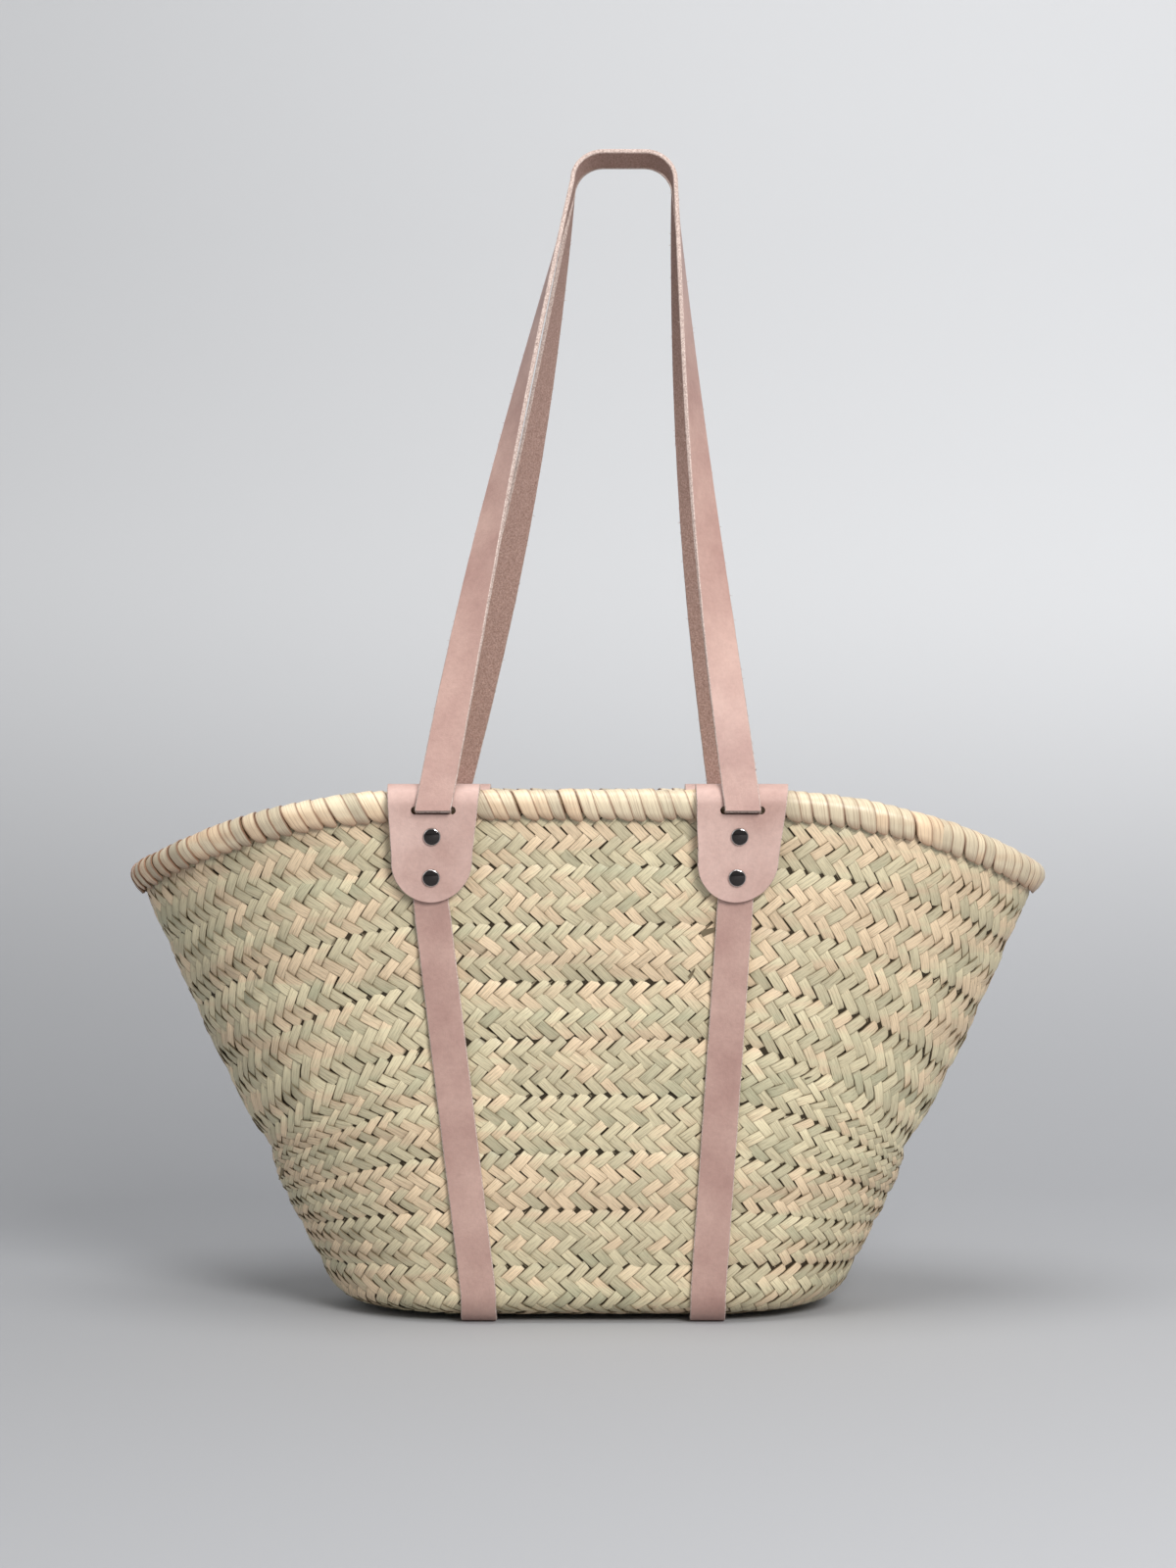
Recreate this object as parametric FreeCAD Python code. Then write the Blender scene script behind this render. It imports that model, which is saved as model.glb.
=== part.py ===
import FreeCAD, Part
import os
from math import acos, atan2, cos, hypot, pi, sin, sqrt, tan

# Woven market basket, in millimetres. The basket stands on the two straps that pass under it.
# X runs along the basket, -Y is the front, +Z is up, and the origin is under the middle of the base.

V = FreeCAD.Vector

# woven body
wall_thickness = 5.0
base_bottom = 2.9          # underside of the woven base, just above the straps
base_half_length = 142.0
base_half_depth = 75.0
base_flat = 66.0           # half length of the straight front of the base outline
rim_height = 295.5         # middle of the rim roll, at the front
rim_half_length = 261.5    # at the drooping ends
rim_half_depth = 102.0
rim_flat = 112.0
end_radius = 45.0          # both ends of every outline are rounded to this
wall_bulge_x = 4.0         # how far the sides swell beyond straight
wall_bulge_y = 2.0
foot_height = 15.0         # the wall curves into the base over this height
foot_inset = 14.0
base_seam = 20.0           # the base ends this far inside its outline, where the coil turns upwards
foot_steps = 3             # sections of the loft over the foot, and over the wall
wall_steps = 4
wall_spare = 25.0          # the wall is lofted this far above the rim, then cut off under the rim's core
cutter_reach = 300.0       # cutters run at least this far, past everything

# rim
rim_radius = 7.5
rim_core_radius = 6.1
rim_wrap_thickness = 1.2
core_gap = 0.8             # between the wall's top edge and the core above it
rim_slope_step = 10.0      # the wall's slope at the rim is measured over this height
rim_level_half = 90.0      # the rim is level from the middle to here, then droops to the ends
rim_droop = 43.0
droop_end_angle = 0.75     # radians; the droop's arc is drawn on past the ends of the rim
wrap_mouth = 30.0          # degrees either side of the wall where the wrap is open for it

# leather
tab_centre = 86.0
tab_thickness = 2.8
tab_gap = 0.3              # between the rim wrap and the tab folded over it
tab_width = 52.0
tab_tip_width = 45.0
tab_taper_drop = 42.0      # the sides taper over this height, then the end is round
tab_length = 66.0
tab_lean = 9.0             # degrees that the outer leaf leans in towards the wall
tab_drift_left = -1.8      # sideways set of the round lower end
tab_drift_right = -3.6
strap_width = 20.0
strap_thickness = 2.6
strap_gap = 0.25
strap_room = 0.3
tab_forward = strap_thickness + strap_room   # the outer leaf stands out this far, for the strap behind it
lip_gap = 0.5              # between the strap's end in the slot and the handle's round foot
slot_drop = 14.8           # middle of the slot, below the top of the tab
slot_width = 25.0
slot_height = 4.5
strap_foot_left = -62.0    # the straps converge towards the base
strap_foot_right = 68.0

# handles
hinge_y = 119.0
hinge_z = 292.0
handle_top = 674.0
handle_top_y = 11.0        # at the top the two handles lie side by side
handle_top_x = 21.0        # the handles are held a little right of the middle
handle_top_width = 60.0
handle_corner = 18.0
handle_bows = {-1: (3.5, 3.5), 1: (-6.0, 4.5)}   # of the left and right legs towards -X, in front and behind
handle_flat = 0.05         # share of a leg that lies flat over its tab before it turns
handle_twists = {-1: 1.15, 1: 0.85}     # above 1 the legs turn on edge faster near the tabs
leg_steps = 14
corner_steps = 5

# rivets
rivet_drops = (29.4, 52.4)
rivet_cap = 10.0
rivet_cap_height = 2.2
rivet_cap_edge = 0.7
rivet_head_share = 0.7     # height of the inner cap, as a share of the outer one
rivet_shank = 3.4
rivet_socket = 0.9         # how far the post reaches into the outer cap
rivet_clear = 0.15

tab_inner = rim_radius + tab_gap             # radii of the tab's fold over the rim
tab_outer = tab_inner + tab_thickness
tab_top = rim_height + tab_outer
slot_z = tab_top - slot_drop


def save(name, shape):
    shape.exportStep("parts/" + name + ".step")
    print(name, round(shape.Volume), shape.isValid(), len(shape.Solids))


def outline(half_length, half_depth, flat, radius, z):
    """Closed outline: straight front and back, long side arcs, and tight end arcs, all tangent."""
    end_x = half_length - radius
    reach = end_x - flat
    side_radius = (reach ** 2 + half_depth ** 2 - radius ** 2) / (2 * (half_depth - radius))
    side_y = half_depth - side_radius
    turn = atan2(reach, -side_y)

    def side(angle):
        return V(flat + side_radius * sin(angle), side_y + side_radius * cos(angle), z)

    def end(angle):
        return V(end_x + radius * sin(angle), radius * cos(angle), z)

    def flip(point, sx, sy):
        return V(sx * point.x, sy * point.y, z)

    a, b, c = side(0), side(turn / 2), side(turn)
    d, e = end((turn + pi / 2) / 2), end(pi / 2)
    edges = [Part.LineSegment(flip(a, -1, 1), a).toShape()]
    edges.append(Part.Arc(a, b, c).toShape())
    edges.append(Part.Arc(c, d, e).toShape())
    edges.append(Part.Arc(e, flip(d, 1, -1), flip(c, 1, -1)).toShape())
    edges.append(Part.Arc(flip(c, 1, -1), flip(b, 1, -1), flip(a, 1, -1)).toShape())
    edges.append(Part.LineSegment(flip(a, 1, -1), flip(a, -1, -1)).toShape())
    edges.append(Part.Arc(flip(a, -1, -1), flip(b, -1, -1), flip(c, -1, -1)).toShape())
    edges.append(Part.Arc(flip(c, -1, -1), flip(d, -1, -1), flip(e, -1, 1)).toShape())
    edges.append(Part.Arc(flip(e, -1, 1), flip(d, -1, 1), flip(c, -1, 1)).toShape())
    edges.append(Part.Arc(flip(c, -1, 1), flip(b, -1, 1), flip(a, -1, 1)).toShape())
    return Part.Wire(edges)


def level_sizes(z):
    """Half length, half depth and flat of the middle of the wall at a height."""
    t = (z - base_bottom) / (rim_height - rim_droop - base_bottom)
    half_length = base_half_length + (rim_half_length - base_half_length) * t
    half_length += wall_bulge_x * 4 * t * (1 - t)
    t = (z - base_bottom) / (rim_height - base_bottom)
    half_depth = base_half_depth + (rim_half_depth - base_half_depth) * t
    half_depth += wall_bulge_y * 4 * t * (1 - t)
    flat = base_flat + (rim_flat - base_flat) * t
    return half_length, half_depth, flat


def foot_point(angle, thickness):
    """Height and inset on the quarter curve that joins the base to the wall, 0 at the base."""
    drop = foot_height - thickness
    z = base_bottom + foot_height - drop * cos(angle)
    return z, thickness + foot_inset * (1 - sin(angle))


def wall_levels(thickness):
    """Heights and insets from the outside of the base upwards, for the surface this far inside."""
    levels = [foot_point(pi / 2 * k / foot_steps, thickness) for k in range(foot_steps + 1)]
    first = levels[-1][0]
    for k in range(1, wall_steps + 1):
        levels.append((first + (rim_height - first) * k / wall_steps, thickness))
    levels.append((rim_height + wall_spare, thickness))
    return levels


def wall_solid(thickness):
    wires = []
    for z, inset in wall_levels(thickness):
        half_length, half_depth, flat = level_sizes(z)
        grow = wall_thickness / 2 - inset
        wires.append(outline(half_length + grow, half_depth + grow, flat, end_radius + grow, z))
    return Part.makeLoft(wires, True, True)


def droop_radius():
    span = rim_half_length - rim_level_half
    return (span ** 2 + rim_droop ** 2) / (2 * rim_droop)


def droop(x):
    """How far the rim has dropped at this distance from the middle: level, then an arc."""
    over = max(0.0, abs(x) - rim_level_half)
    return droop_radius() - sqrt(droop_radius() ** 2 - over ** 2)


def above_rim(drop):
    """Everything above the line that runs this far under the middle of the rim roll."""
    middle_z = rim_height - droop_radius()
    radius = droop_radius() - drop
    arc = [V(rim_level_half + radius * sin(a), -cutter_reach, middle_z + radius * cos(a))
           for a in (0, droop_end_angle / 2, droop_end_angle)]
    mirrored = [V(-p.x, p.y, p.z) for p in arc]
    high_right = V(arc[2].x, -cutter_reach, rim_height + 2 * wall_spare)
    high_left = V(-arc[2].x, -cutter_reach, rim_height + 2 * wall_spare)
    edges = [Part.LineSegment(mirrored[0], arc[0]).toShape()]
    edges.append(Part.Arc(*arc).toShape())
    edges.append(Part.LineSegment(arc[2], high_right).toShape())
    edges.append(Part.LineSegment(high_right, high_left).toShape())
    edges.append(Part.LineSegment(high_left, mirrored[2]).toShape())
    edges.append(Part.Arc(mirrored[2], mirrored[1], mirrored[0]).toShape())
    return Part.Face(Part.Wire(edges)).extrude(V(0, 2 * cutter_reach, 0))


def make_body(drills):
    """The wall and the base, cut apart along the seam where the coil turns upwards."""
    shell = wall_solid(0).cut(wall_solid(wall_thickness))
    shell = shell.cut(above_rim(rim_core_radius + core_gap))
    half_length, half_depth, flat = level_sizes(base_bottom)
    plug = outline(half_length - base_seam, half_depth - base_seam, flat, end_radius - base_seam, 0)
    plug = Part.Face(plug).extrude(V(0, 0, cutter_reach))
    save("woven_base", shell.common(plug).removeSplitter())
    save("woven_wall", shell.cut(plug).cut(drills).removeSplitter())


def rim_place(part, share):
    """A point on the wall's middle surface at the height of the rim, and the outward direction."""
    x = y = angle = 0.0
    for step in range(30):
        z = rim_height - droop(x)
        half_length, half_depth, flat = level_sizes(z)
        end_x = half_length - end_radius
        reach = end_x - flat
        side_radius = (reach ** 2 + half_depth ** 2 - end_radius ** 2) / (2 * (half_depth - end_radius))
        side_y = half_depth - side_radius
        turn = atan2(reach, -side_y)
        if part == "front":
            x, y, angle = flat * share, half_depth, 0.0
        elif part == "side":
            angle = turn * share
            x, y = flat + side_radius * sin(angle), side_y + side_radius * cos(angle)
        else:
            angle = turn + (pi / 2 - turn) * share
            x, y = end_x + end_radius * sin(angle), end_radius * cos(angle)
    return x, y, angle


def rim_stations():
    """Places round the rim: x, y and the outward direction, from the middle of the back."""
    quarter = [rim_place("front", share) for share in (0.0, 0.8, 1.0)]
    quarter += [rim_place("side", k / 5) for k in range(1, 6)]
    quarter += [rim_place("end", k / 4) for k in range(1, 5)]
    half = quarter + [(x, -y, pi - angle) for x, y, angle in quarter[-2::-1]]
    return half + [(-x, y, -angle) for x, y, angle in half[-2:0:-1]]


def ring_at(points, station):
    """Places a section, given as (outward, up) pairs, across the rim and in line with the wall."""
    x, y, angle = station
    z = rim_height - droop(x)
    low = level_sizes(z - rim_slope_step)
    high = level_sizes(z)
    slope_x = (high[0] - low[0]) / rim_slope_step
    slope_y = (high[1] - low[1]) / rim_slope_step
    tilt = atan2(slope_x * sin(angle) ** 2 + slope_y * cos(angle) ** 2, 1)
    placed = []
    for o, u in points:
        out = o * cos(tilt) + u * sin(tilt)
        up = u * cos(tilt) - o * sin(tilt)
        placed.append(V(x + out * sin(angle), y + out * cos(angle), z + up))
    return placed


def rim_loft(sections, make_wire):
    wires = [make_wire(ring_at(sections, station)) for station in rim_stations()]
    return Part.makeLoft(wires, True, True, True)


def core_wire(points):
    """A round section through four points."""
    a, b, c, d = points
    return Part.Wire([Part.Arc(a, b, c).toShape(), Part.Arc(c, d, a).toShape()])


def wrap_wire(points):
    """An open horseshoe section: outer arc, lip, inner arc, lip."""
    a, b, c, d, e, f = points
    edges = [Part.Arc(a, b, c).toShape(), Part.LineSegment(c, d).toShape()]
    edges.append(Part.Arc(d, e, f).toShape())
    edges.append(Part.LineSegment(f, a).toShape())
    return Part.Wire(edges)


def make_rim():
    size = rim_core_radius
    save("rim_core", rim_loft([(size, 0), (0, size), (-size, 0), (0, -size)], core_wire))
    outer = rim_radius
    inner = rim_radius - rim_wrap_thickness
    mouth = wrap_mouth * pi / 180
    points = [(outer * sin(mouth), -outer * cos(mouth)), (0, outer)]
    points += [(-outer * sin(mouth), -outer * cos(mouth)), (-inner * sin(mouth), -inner * cos(mouth))]
    points += [(0, inner), (inner * sin(mouth), -inner * cos(mouth))]
    save("rim_wrap", rim_loft(points, wrap_wire))


def tab_profile():
    """Side view of a tab folded over the rim, with the outer leaf at the front, as y and z."""
    lean = tab_lean * pi / 180
    forward = -rim_half_depth - tab_forward
    tip = tab_top - tab_length

    def leaf(radius, z):
        y0 = forward - radius * cos(lean)
        z0 = rim_height - radius * sin(lean)
        return V(0, y0 + (z0 - z) * tan(lean), z), V(0, y0, z0)

    def over(radius, angle, y):
        return V(0, y + radius * cos(angle), rim_height + radius * sin(angle))

    def bend(radius, start, end, y):
        middle = over(radius, (start + end) / 2, y)
        return Part.Arc(over(radius, start, y), middle, over(radius, end, y)).toShape()

    def straight(start, end):
        return Part.LineSegment(start, end).toShape()

    back = -rim_half_depth
    level = pi / 2
    hang = pi + lean
    out_low, out_high = leaf(tab_outer, tip)
    in_low, in_high = leaf(tab_inner, tip)
    edges = [straight(out_low, out_high)]
    edges.append(bend(tab_outer, hang, level, forward))
    edges.append(straight(over(tab_outer, level, forward), over(tab_outer, level, back)))
    edges.append(bend(tab_outer, level, 0, back))
    edges.append(straight(over(tab_outer, 0, back), V(0, back + tab_outer, tip)))
    edges.append(straight(V(0, back + tab_outer, tip), V(0, back + tab_inner, tip)))
    edges.append(straight(V(0, back + tab_inner, tip), over(tab_inner, 0, back)))
    edges.append(bend(tab_inner, 0, level, back))
    edges.append(straight(over(tab_inner, level, back), over(tab_inner, level, forward)))
    edges.append(bend(tab_inner, level, hang, forward))
    edges.append(straight(in_high, in_low))
    edges.append(straight(in_low, out_low))
    return Part.Face(Part.Wire(edges))


def tab_outline(drift):
    """Front view of a tab: square top, sides that taper, round lower end set a little sideways."""
    top = tab_top + tab_thickness
    low = tab_top - tab_taper_drop
    half_top = tab_width / 2
    half_low = tab_tip_width / 2
    set_low = drift * tab_taper_drop / tab_length
    corners = [V(set_low - half_low, 0, low), V(-half_top, 0, tab_top), V(-half_top, 0, top)]
    corners += [V(half_top, 0, top), V(half_top, 0, tab_top), V(set_low + half_low, 0, low)]
    edges = [Part.LineSegment(corners[k], corners[k + 1]).toShape() for k in range(5)]
    edges.append(Part.Arc(corners[5], V(drift, 0, tab_top - tab_length), corners[0]).toShape())
    face = Part.Face(Part.Wire(edges))
    face.translate(V(0, -cutter_reach, 0))
    return face.extrude(V(0, cutter_reach, 0))


def slot_cutter():
    radius = slot_height / 2
    half = slot_width / 2 - radius
    a, b = V(-half, 0, slot_z + radius), V(half, 0, slot_z + radius)
    c, d = V(half, 0, slot_z - radius), V(-half, 0, slot_z - radius)
    edges = [Part.LineSegment(a, b).toShape()]
    edges.append(Part.Arc(b, V(half + radius, 0, slot_z), c).toShape())
    edges.append(Part.LineSegment(c, d).toShape())
    edges.append(Part.Arc(d, V(-half - radius, 0, slot_z), a).toShape())
    face = Part.Face(Part.Wire(edges))
    face.translate(V(0, -cutter_reach, 0))
    return face.extrude(V(0, cutter_reach - rim_half_depth, 0))


def rivet_shaft(drop, drift):
    """Where a rivet runs at its height: its middle on the tab's outer face and on its inner face."""
    lean = tab_lean * pi / 180
    x = drift * drop / tab_length
    z = tab_top - drop
    y0 = -rim_half_depth - tab_forward - tab_outer * cos(lean)
    z0 = rim_height - tab_outer * sin(lean)
    return V(x, y0 + (z0 - z) * tan(lean), z), V(x, -rim_half_depth + tab_outer, z)


def rivet_shank_at(drop, drift, radius, past):
    """A straight round bar through all the layers, past the faces by this much at each end."""
    front, back = rivet_shaft(drop, drift)
    start = V(front.x, front.y - past, front.z)
    return Part.makeCylinder(radius, back.y - front.y + past, start, V(0, 1, 0))


def cap(radius, height, seat, along):
    """A domed cap with a thin straight edge, seated on the leather."""
    rise = height - rivet_cap_edge
    ball = (radius ** 2 + rise ** 2) / (2 * rise)
    half = acos((ball - rise) / ball) / 2
    foot, edge, crown = V(radius, 0, 0), V(radius, 0, rivet_cap_edge), V(0, 0, height)
    middle = V(ball * sin(half), 0, height - ball + ball * cos(half))
    edges = [Part.LineSegment(V(0, 0, 0), foot).toShape()]
    edges.append(Part.LineSegment(foot, edge).toShape())
    edges.append(Part.Arc(edge, middle, crown).toShape())
    edges.append(Part.LineSegment(crown, V(0, 0, 0)).toShape())
    solid = Part.Face(Part.Wire(edges)).revolve(V(0, 0, 0), V(0, 0, 1), 360)
    solid.Placement = FreeCAD.Placement(seat, FreeCAD.Rotation(V(0, 0, 1), along))
    return solid


def rivet_outer_cap(drop, drift):
    """The outer cap, square to the leaning leaf, with the socket that the post is pressed into."""
    lean = tab_lean * pi / 180
    seat = rivet_shaft(drop, drift)[0]
    solid = cap(rivet_cap / 2, rivet_cap_height, seat, V(0, -cos(lean), -sin(lean)))
    return solid.cut(rivet_shank_at(drop, drift, rivet_shank / 2, rivet_socket))


def rivet_post(drop, drift):
    """The shank and the inner cap, one piece."""
    seat = rivet_shaft(drop, drift)[1]
    shank = rivet_shank_at(drop, drift, rivet_shank / 2, rivet_socket)
    head = cap(rivet_cap / 2, rivet_cap_height * rivet_head_share, seat, V(0, 1, 0))
    return shank.fuse(head).removeSplitter()


def flat_loft(sections):
    """A flat strap through sections. Each is a middle, and half of the width and of the thickness."""
    wires = []
    for middle, wide, thick in sections:
        corners = [middle - wide - thick, middle + wide - thick, middle + wide + thick]
        corners.append(middle - wide + thick)
        wires.append(Part.makePolygon(corners + [corners[0]]))
    return Part.makeLoft(wires, True, True)


def mitre(before, after):
    """Half the strap's thickness, turned to bisect the bend between two directions seen from the side."""
    first = V(0, -before.z, before.y).normalize()
    second = V(0, -after.z, after.y).normalize()
    middle = (first + second).normalize()
    return middle.multiply(strap_thickness / 2 / middle.dot(first))


def body_strap_path(foot_x, top_x, drift):
    """Middle of a body strap: out of the front slot, back in, down the wall and to the underside."""
    lean = tab_lean * pi / 180
    face_y = -rim_half_depth - tab_forward - tab_inner * cos(lean)
    face_z = rim_height - tab_inner * sin(lean)
    off = strap_gap + strap_thickness / 2
    behind_y = face_y + (face_z - slot_z) * tan(lean) + off / cos(lean)
    points = [V(top_x, -hinge_y + strap_thickness / 2 + lip_gap, slot_z), V(top_x, behind_y, slot_z)]
    low = tab_top - tab_length
    first = base_bottom + foot_height
    heights = [low] + [first + (rim_height - first) * k / wall_steps for k in range(wall_steps - 1, -1, -1)]
    for z in heights:
        x = foot_x + (top_x + drift - foot_x) * (z - first) / (low - first)
        if z <= low:
            points.append(V(x, -level_sizes(z)[1] - wall_thickness / 2 - off, z))
    for k in range(foot_steps - 1, -1, -1):
        angle = pi / 2 * k / foot_steps
        z, inset = foot_point(angle, 0)
        y = -level_sizes(z)[1] - wall_thickness / 2 + inset
        points.append(V(foot_x, y - off * sin(angle), z - off * cos(angle)))
    points[-1].z = strap_thickness / 2
    return points


def body_strap(foot_x, top_x, drift):
    half = body_strap_path(foot_x, top_x, drift)
    path = half + [V(p.x, -p.y, p.z) for p in reversed(half)]
    sections = []
    for k, point in enumerate(path):
        before = point - path[k - 1] if k else path[1] - point
        after = path[k + 1] - point if k + 1 < len(path) else before
        sections.append((point, V(strap_width / 2, 0, 0), mitre(before, after)))
    return flat_loft(sections)


def handle_rows(facing):
    """Middle of a handle in its own plane: across, along, and how far it has turned on edge."""
    left = handle_top_x - handle_top_width / 2
    right = handle_top_x + handle_top_width / 2
    height = hypot(handle_top - strap_thickness / 2 - hinge_z, hinge_y - handle_top_y)
    leg_top = height - handle_corner

    def leg(foot, head, bow):
        shares = [k / leg_steps for k in range(leg_steps + 1)]
        return [(foot + (head - foot) * s - bow * sin(pi * s), leg_top * s, s) for s in shares]

    def corner(middle, start):
        angles = [start - pi / 2 * k / corner_steps for k in range(1, corner_steps)]
        return [(middle + handle_corner * cos(a), leg_top + handle_corner * sin(a), 1.0) for a in angles]

    rows = leg(-tab_centre, left, handle_bows[facing][0]) + corner(left + handle_corner, pi)
    rows += [(left + handle_corner, height, 1.0), (right - handle_corner, height, 1.0)]
    rows += corner(right - handle_corner, pi / 2)
    return rows + leg(tab_centre, right, handle_bows[facing][1])[::-1]


def handle(facing):
    """A handle: flat against the tab at its feet, turned on edge by the top so that the face that shows
    outwards at both feet is the outside of the loop. Facing is -1 in front and 1 behind."""
    rows = handle_rows(facing)
    lean = atan2(hinge_y - handle_top_y, handle_top - strap_thickness / 2 - hinge_z)
    up = V(0, -facing * sin(lean), cos(lean))
    out = V(0, facing * cos(lean), sin(lean))
    sections = []
    for k, (x, along, share) in enumerate(rows):
        middle = V(x, facing * hinge_y, hinge_z) + V(up).multiply(along)
        last, following = rows[max(k - 1, 0)], rows[min(k + 1, len(rows) - 1)]
        run = V(following[0] - last[0], 0, 0) + V(up).multiply(following[1] - last[1])
        if share == 0:
            run = V(up).multiply(1 if k == 0 else -1)        # the foot is square to its fold line
        run.normalize()
        side = out.cross(run).multiply(facing)
        twisted = max(0.0, (share - handle_flat) / (1 - handle_flat))
        turn = pi / 2 * (1 - (1 - twisted) ** handle_twists[facing])
        wide = (V(side).multiply(cos(turn)) + V(out).multiply(sin(turn))).normalize()
        thick = run.cross(wide).normalize()
        sections.append((middle, wide.multiply(strap_width / 2), thick.multiply(strap_thickness / 2)))
    solid = flat_loft(sections)
    across, below = V(out).multiply(strap_thickness / 2), V(up).multiply(-strap_thickness / 2)
    for x in (-tab_centre, tab_centre):
        middle = V(x - strap_width / 2, facing * hinge_y, hinge_z)
        edges = [Part.Arc(middle + across, middle + below, middle - across).toShape()]
        edges.append(Part.LineSegment(middle - across, middle + across).toShape())
        solid = solid.fuse(Part.Face(Part.Wire(edges)).extrude(V(strap_width, 0, 0)))
    return solid.removeSplitter()


def place(shape, x, back):
    """Puts a piece made at the middle of the front at this x, in front or mirrored to the back."""
    moved = shape.copy()
    moved.translate(V(x, 0, 0))
    return moved.mirror(V(0, 0, 0), V(0, 1, 0)) if back else moved


def make_tabs():
    """The tabs and their rivets, and everything that the rivets need drilled."""
    drills = []
    sides = (("left", -tab_centre, tab_drift_left), ("right", tab_centre, tab_drift_right))
    for side, x, drift in sides:
        tab = tab_profile().extrude(V(tab_width, 0, 0))
        tab.translate(V(-tab_width / 2, 0, 0))
        tab = tab.common(tab_outline(drift)).cut(slot_cutter())
        radius = rivet_shank / 2 + rivet_clear
        holes = [rivet_shank_at(drop, drift, radius, tab_thickness) for drop in rivet_drops]
        tab = tab.cut(holes)
        caps = Part.Compound([rivet_outer_cap(drop, drift) for drop in rivet_drops])
        posts = Part.Compound([rivet_post(drop, drift) for drop in rivet_drops])
        for face, back in (("front", False), ("back", True)):
            name = "_" + face + "_" + side
            save("saddle_tab" + name, place(tab, x, back))
            save("rivet_caps" + name, place(caps, x, back))
            save("rivet_posts" + name, place(posts, x, back))
            drills += [place(hole, x, back) for hole in holes]
    return drills


def main():
    os.makedirs("parts", exist_ok=True)
    drills = make_tabs()
    make_body(drills)
    make_rim()
    save("body_strap_left", body_strap(strap_foot_left, -tab_centre, tab_drift_left).cut(drills))
    save("body_strap_right", body_strap(strap_foot_right, tab_centre, tab_drift_right).cut(drills))
    save("front_handle", handle(-1))
    save("back_handle", handle(1))


main()
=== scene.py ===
import bpy
import bmesh
from math import atan2, cos, hypot, pi, radians, sin, sqrt, tan
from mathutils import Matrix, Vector, noise


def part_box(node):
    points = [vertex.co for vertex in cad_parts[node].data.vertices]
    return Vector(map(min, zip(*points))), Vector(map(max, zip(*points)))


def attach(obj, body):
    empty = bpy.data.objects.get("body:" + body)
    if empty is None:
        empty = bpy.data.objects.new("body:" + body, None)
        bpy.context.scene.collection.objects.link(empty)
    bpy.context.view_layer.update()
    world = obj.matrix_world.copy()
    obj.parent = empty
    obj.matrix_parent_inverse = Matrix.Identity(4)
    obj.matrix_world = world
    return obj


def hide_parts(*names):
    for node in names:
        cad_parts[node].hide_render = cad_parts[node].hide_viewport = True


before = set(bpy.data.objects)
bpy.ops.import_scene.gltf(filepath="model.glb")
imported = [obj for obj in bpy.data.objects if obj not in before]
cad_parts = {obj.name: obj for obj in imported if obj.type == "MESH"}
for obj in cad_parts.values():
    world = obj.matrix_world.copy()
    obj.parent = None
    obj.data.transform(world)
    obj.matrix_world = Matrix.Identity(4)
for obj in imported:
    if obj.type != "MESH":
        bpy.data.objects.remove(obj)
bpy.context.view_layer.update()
scene = bpy.context.scene
print("frame loaded", len(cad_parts), "nodes")


def toLinear(hexColour):
    parts = [int(hexColour[k:k + 2], 16) / 255 for k in (1, 3, 5)]
    return [p / 12.92 if p <= 0.04045 else ((p + 0.055) / 1.055) ** 2.4 for p in parts] + [1.0]


# Adds any node: its settings by name, and its inputs as a value or as a socket to link.
def addNode(tree, kind, inputs=None, stops=None, **settings):
    node = tree.nodes.new(kind)
    for name, value in settings.items():
        setattr(node, name, value)
    for key, value in (inputs or {}).items():
        if isinstance(value, bpy.types.NodeSocket):
            tree.links.new(value, node.inputs[key])
        else:
            node.inputs[key].default_value = value
    for k, (place, colour) in enumerate(stops or []):
        element = node.color_ramp.elements[k] if k < 2 else node.color_ramp.elements.new(place)
        element.position = place
        element.color = toLinear(colour)
    return node


def newMaterial(name):
    material = bpy.data.materials.new(name)
    material.use_nodes = True
    tree = material.node_tree
    return material, tree, tree.nodes["Principled BSDF"]


# A skin over rings of points, with the distance along and round it as its UV map, in metres.
def loftMesh(name, rings, tags=None, capEnds=True, closeRun=False):
    mesh = bpy.data.meshes.new(name)
    count = len(rings[0])
    points = [p for ring in rings for p in ring]
    faces = []
    spans = len(rings) if closeRun else len(rings) - 1
    for k in range(spans):
        low = k * count
        high = (k + 1) % len(rings) * count
        faces += [(low + j, low + (j + 1) % count, high + (j + 1) % count, high + j) for j in range(count)]
    if capEnds and not closeRun:
        faces += [tuple(range(count))[::-1], tuple(range(spans * count, spans * count + count))]
    mesh.from_pydata(points, [], faces)
    run = [0.0]
    for a, b in zip(rings, rings[1:] + rings[:1]):
        run.append(run[-1] + (b[0] - a[0]).length)
    middle = rings[len(rings) // 2]
    girth = [0.0]
    for a, b in zip(middle, middle[1:] + middle[:1]):
        girth.append(girth[-1] + (b - a).length)
    layer = mesh.uv_layers.new(name="UVMap")
    for polygon in mesh.polygons:
        k, j = divmod(polygon.index, count)
        if k >= spans:
            continue
        near, far = run[k:k + 2]
        corners = [(near, girth[j]), (near, girth[j + 1]), (far, girth[j + 1]), (far, girth[j])]
        for loop, uv in zip(polygon.loop_indices, corners):
            layer.data[loop].uv = uv
        if tags:
            polygon.material_index = tags[j]
    mesh.polygons.foreach_set("use_smooth", [True] * len(mesh.polygons))
    return mesh


# The name of the piece that stands for a node of the frame.
def pieceName(node):
    first, *rest = node.split("_")
    return first + "".join(word.title() for word in rest)


def newObject(name, mesh, materials):
    piece = bpy.data.objects.new(name, mesh)
    scene.collection.objects.link(piece)
    if materials:
        slots = [polygon.material_index for polygon in mesh.polygons]
        mesh.materials.clear()
        for material in materials:
            mesh.materials.append(material)
        mesh.polygons.foreach_set("material_index", slots)
    return piece


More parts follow.
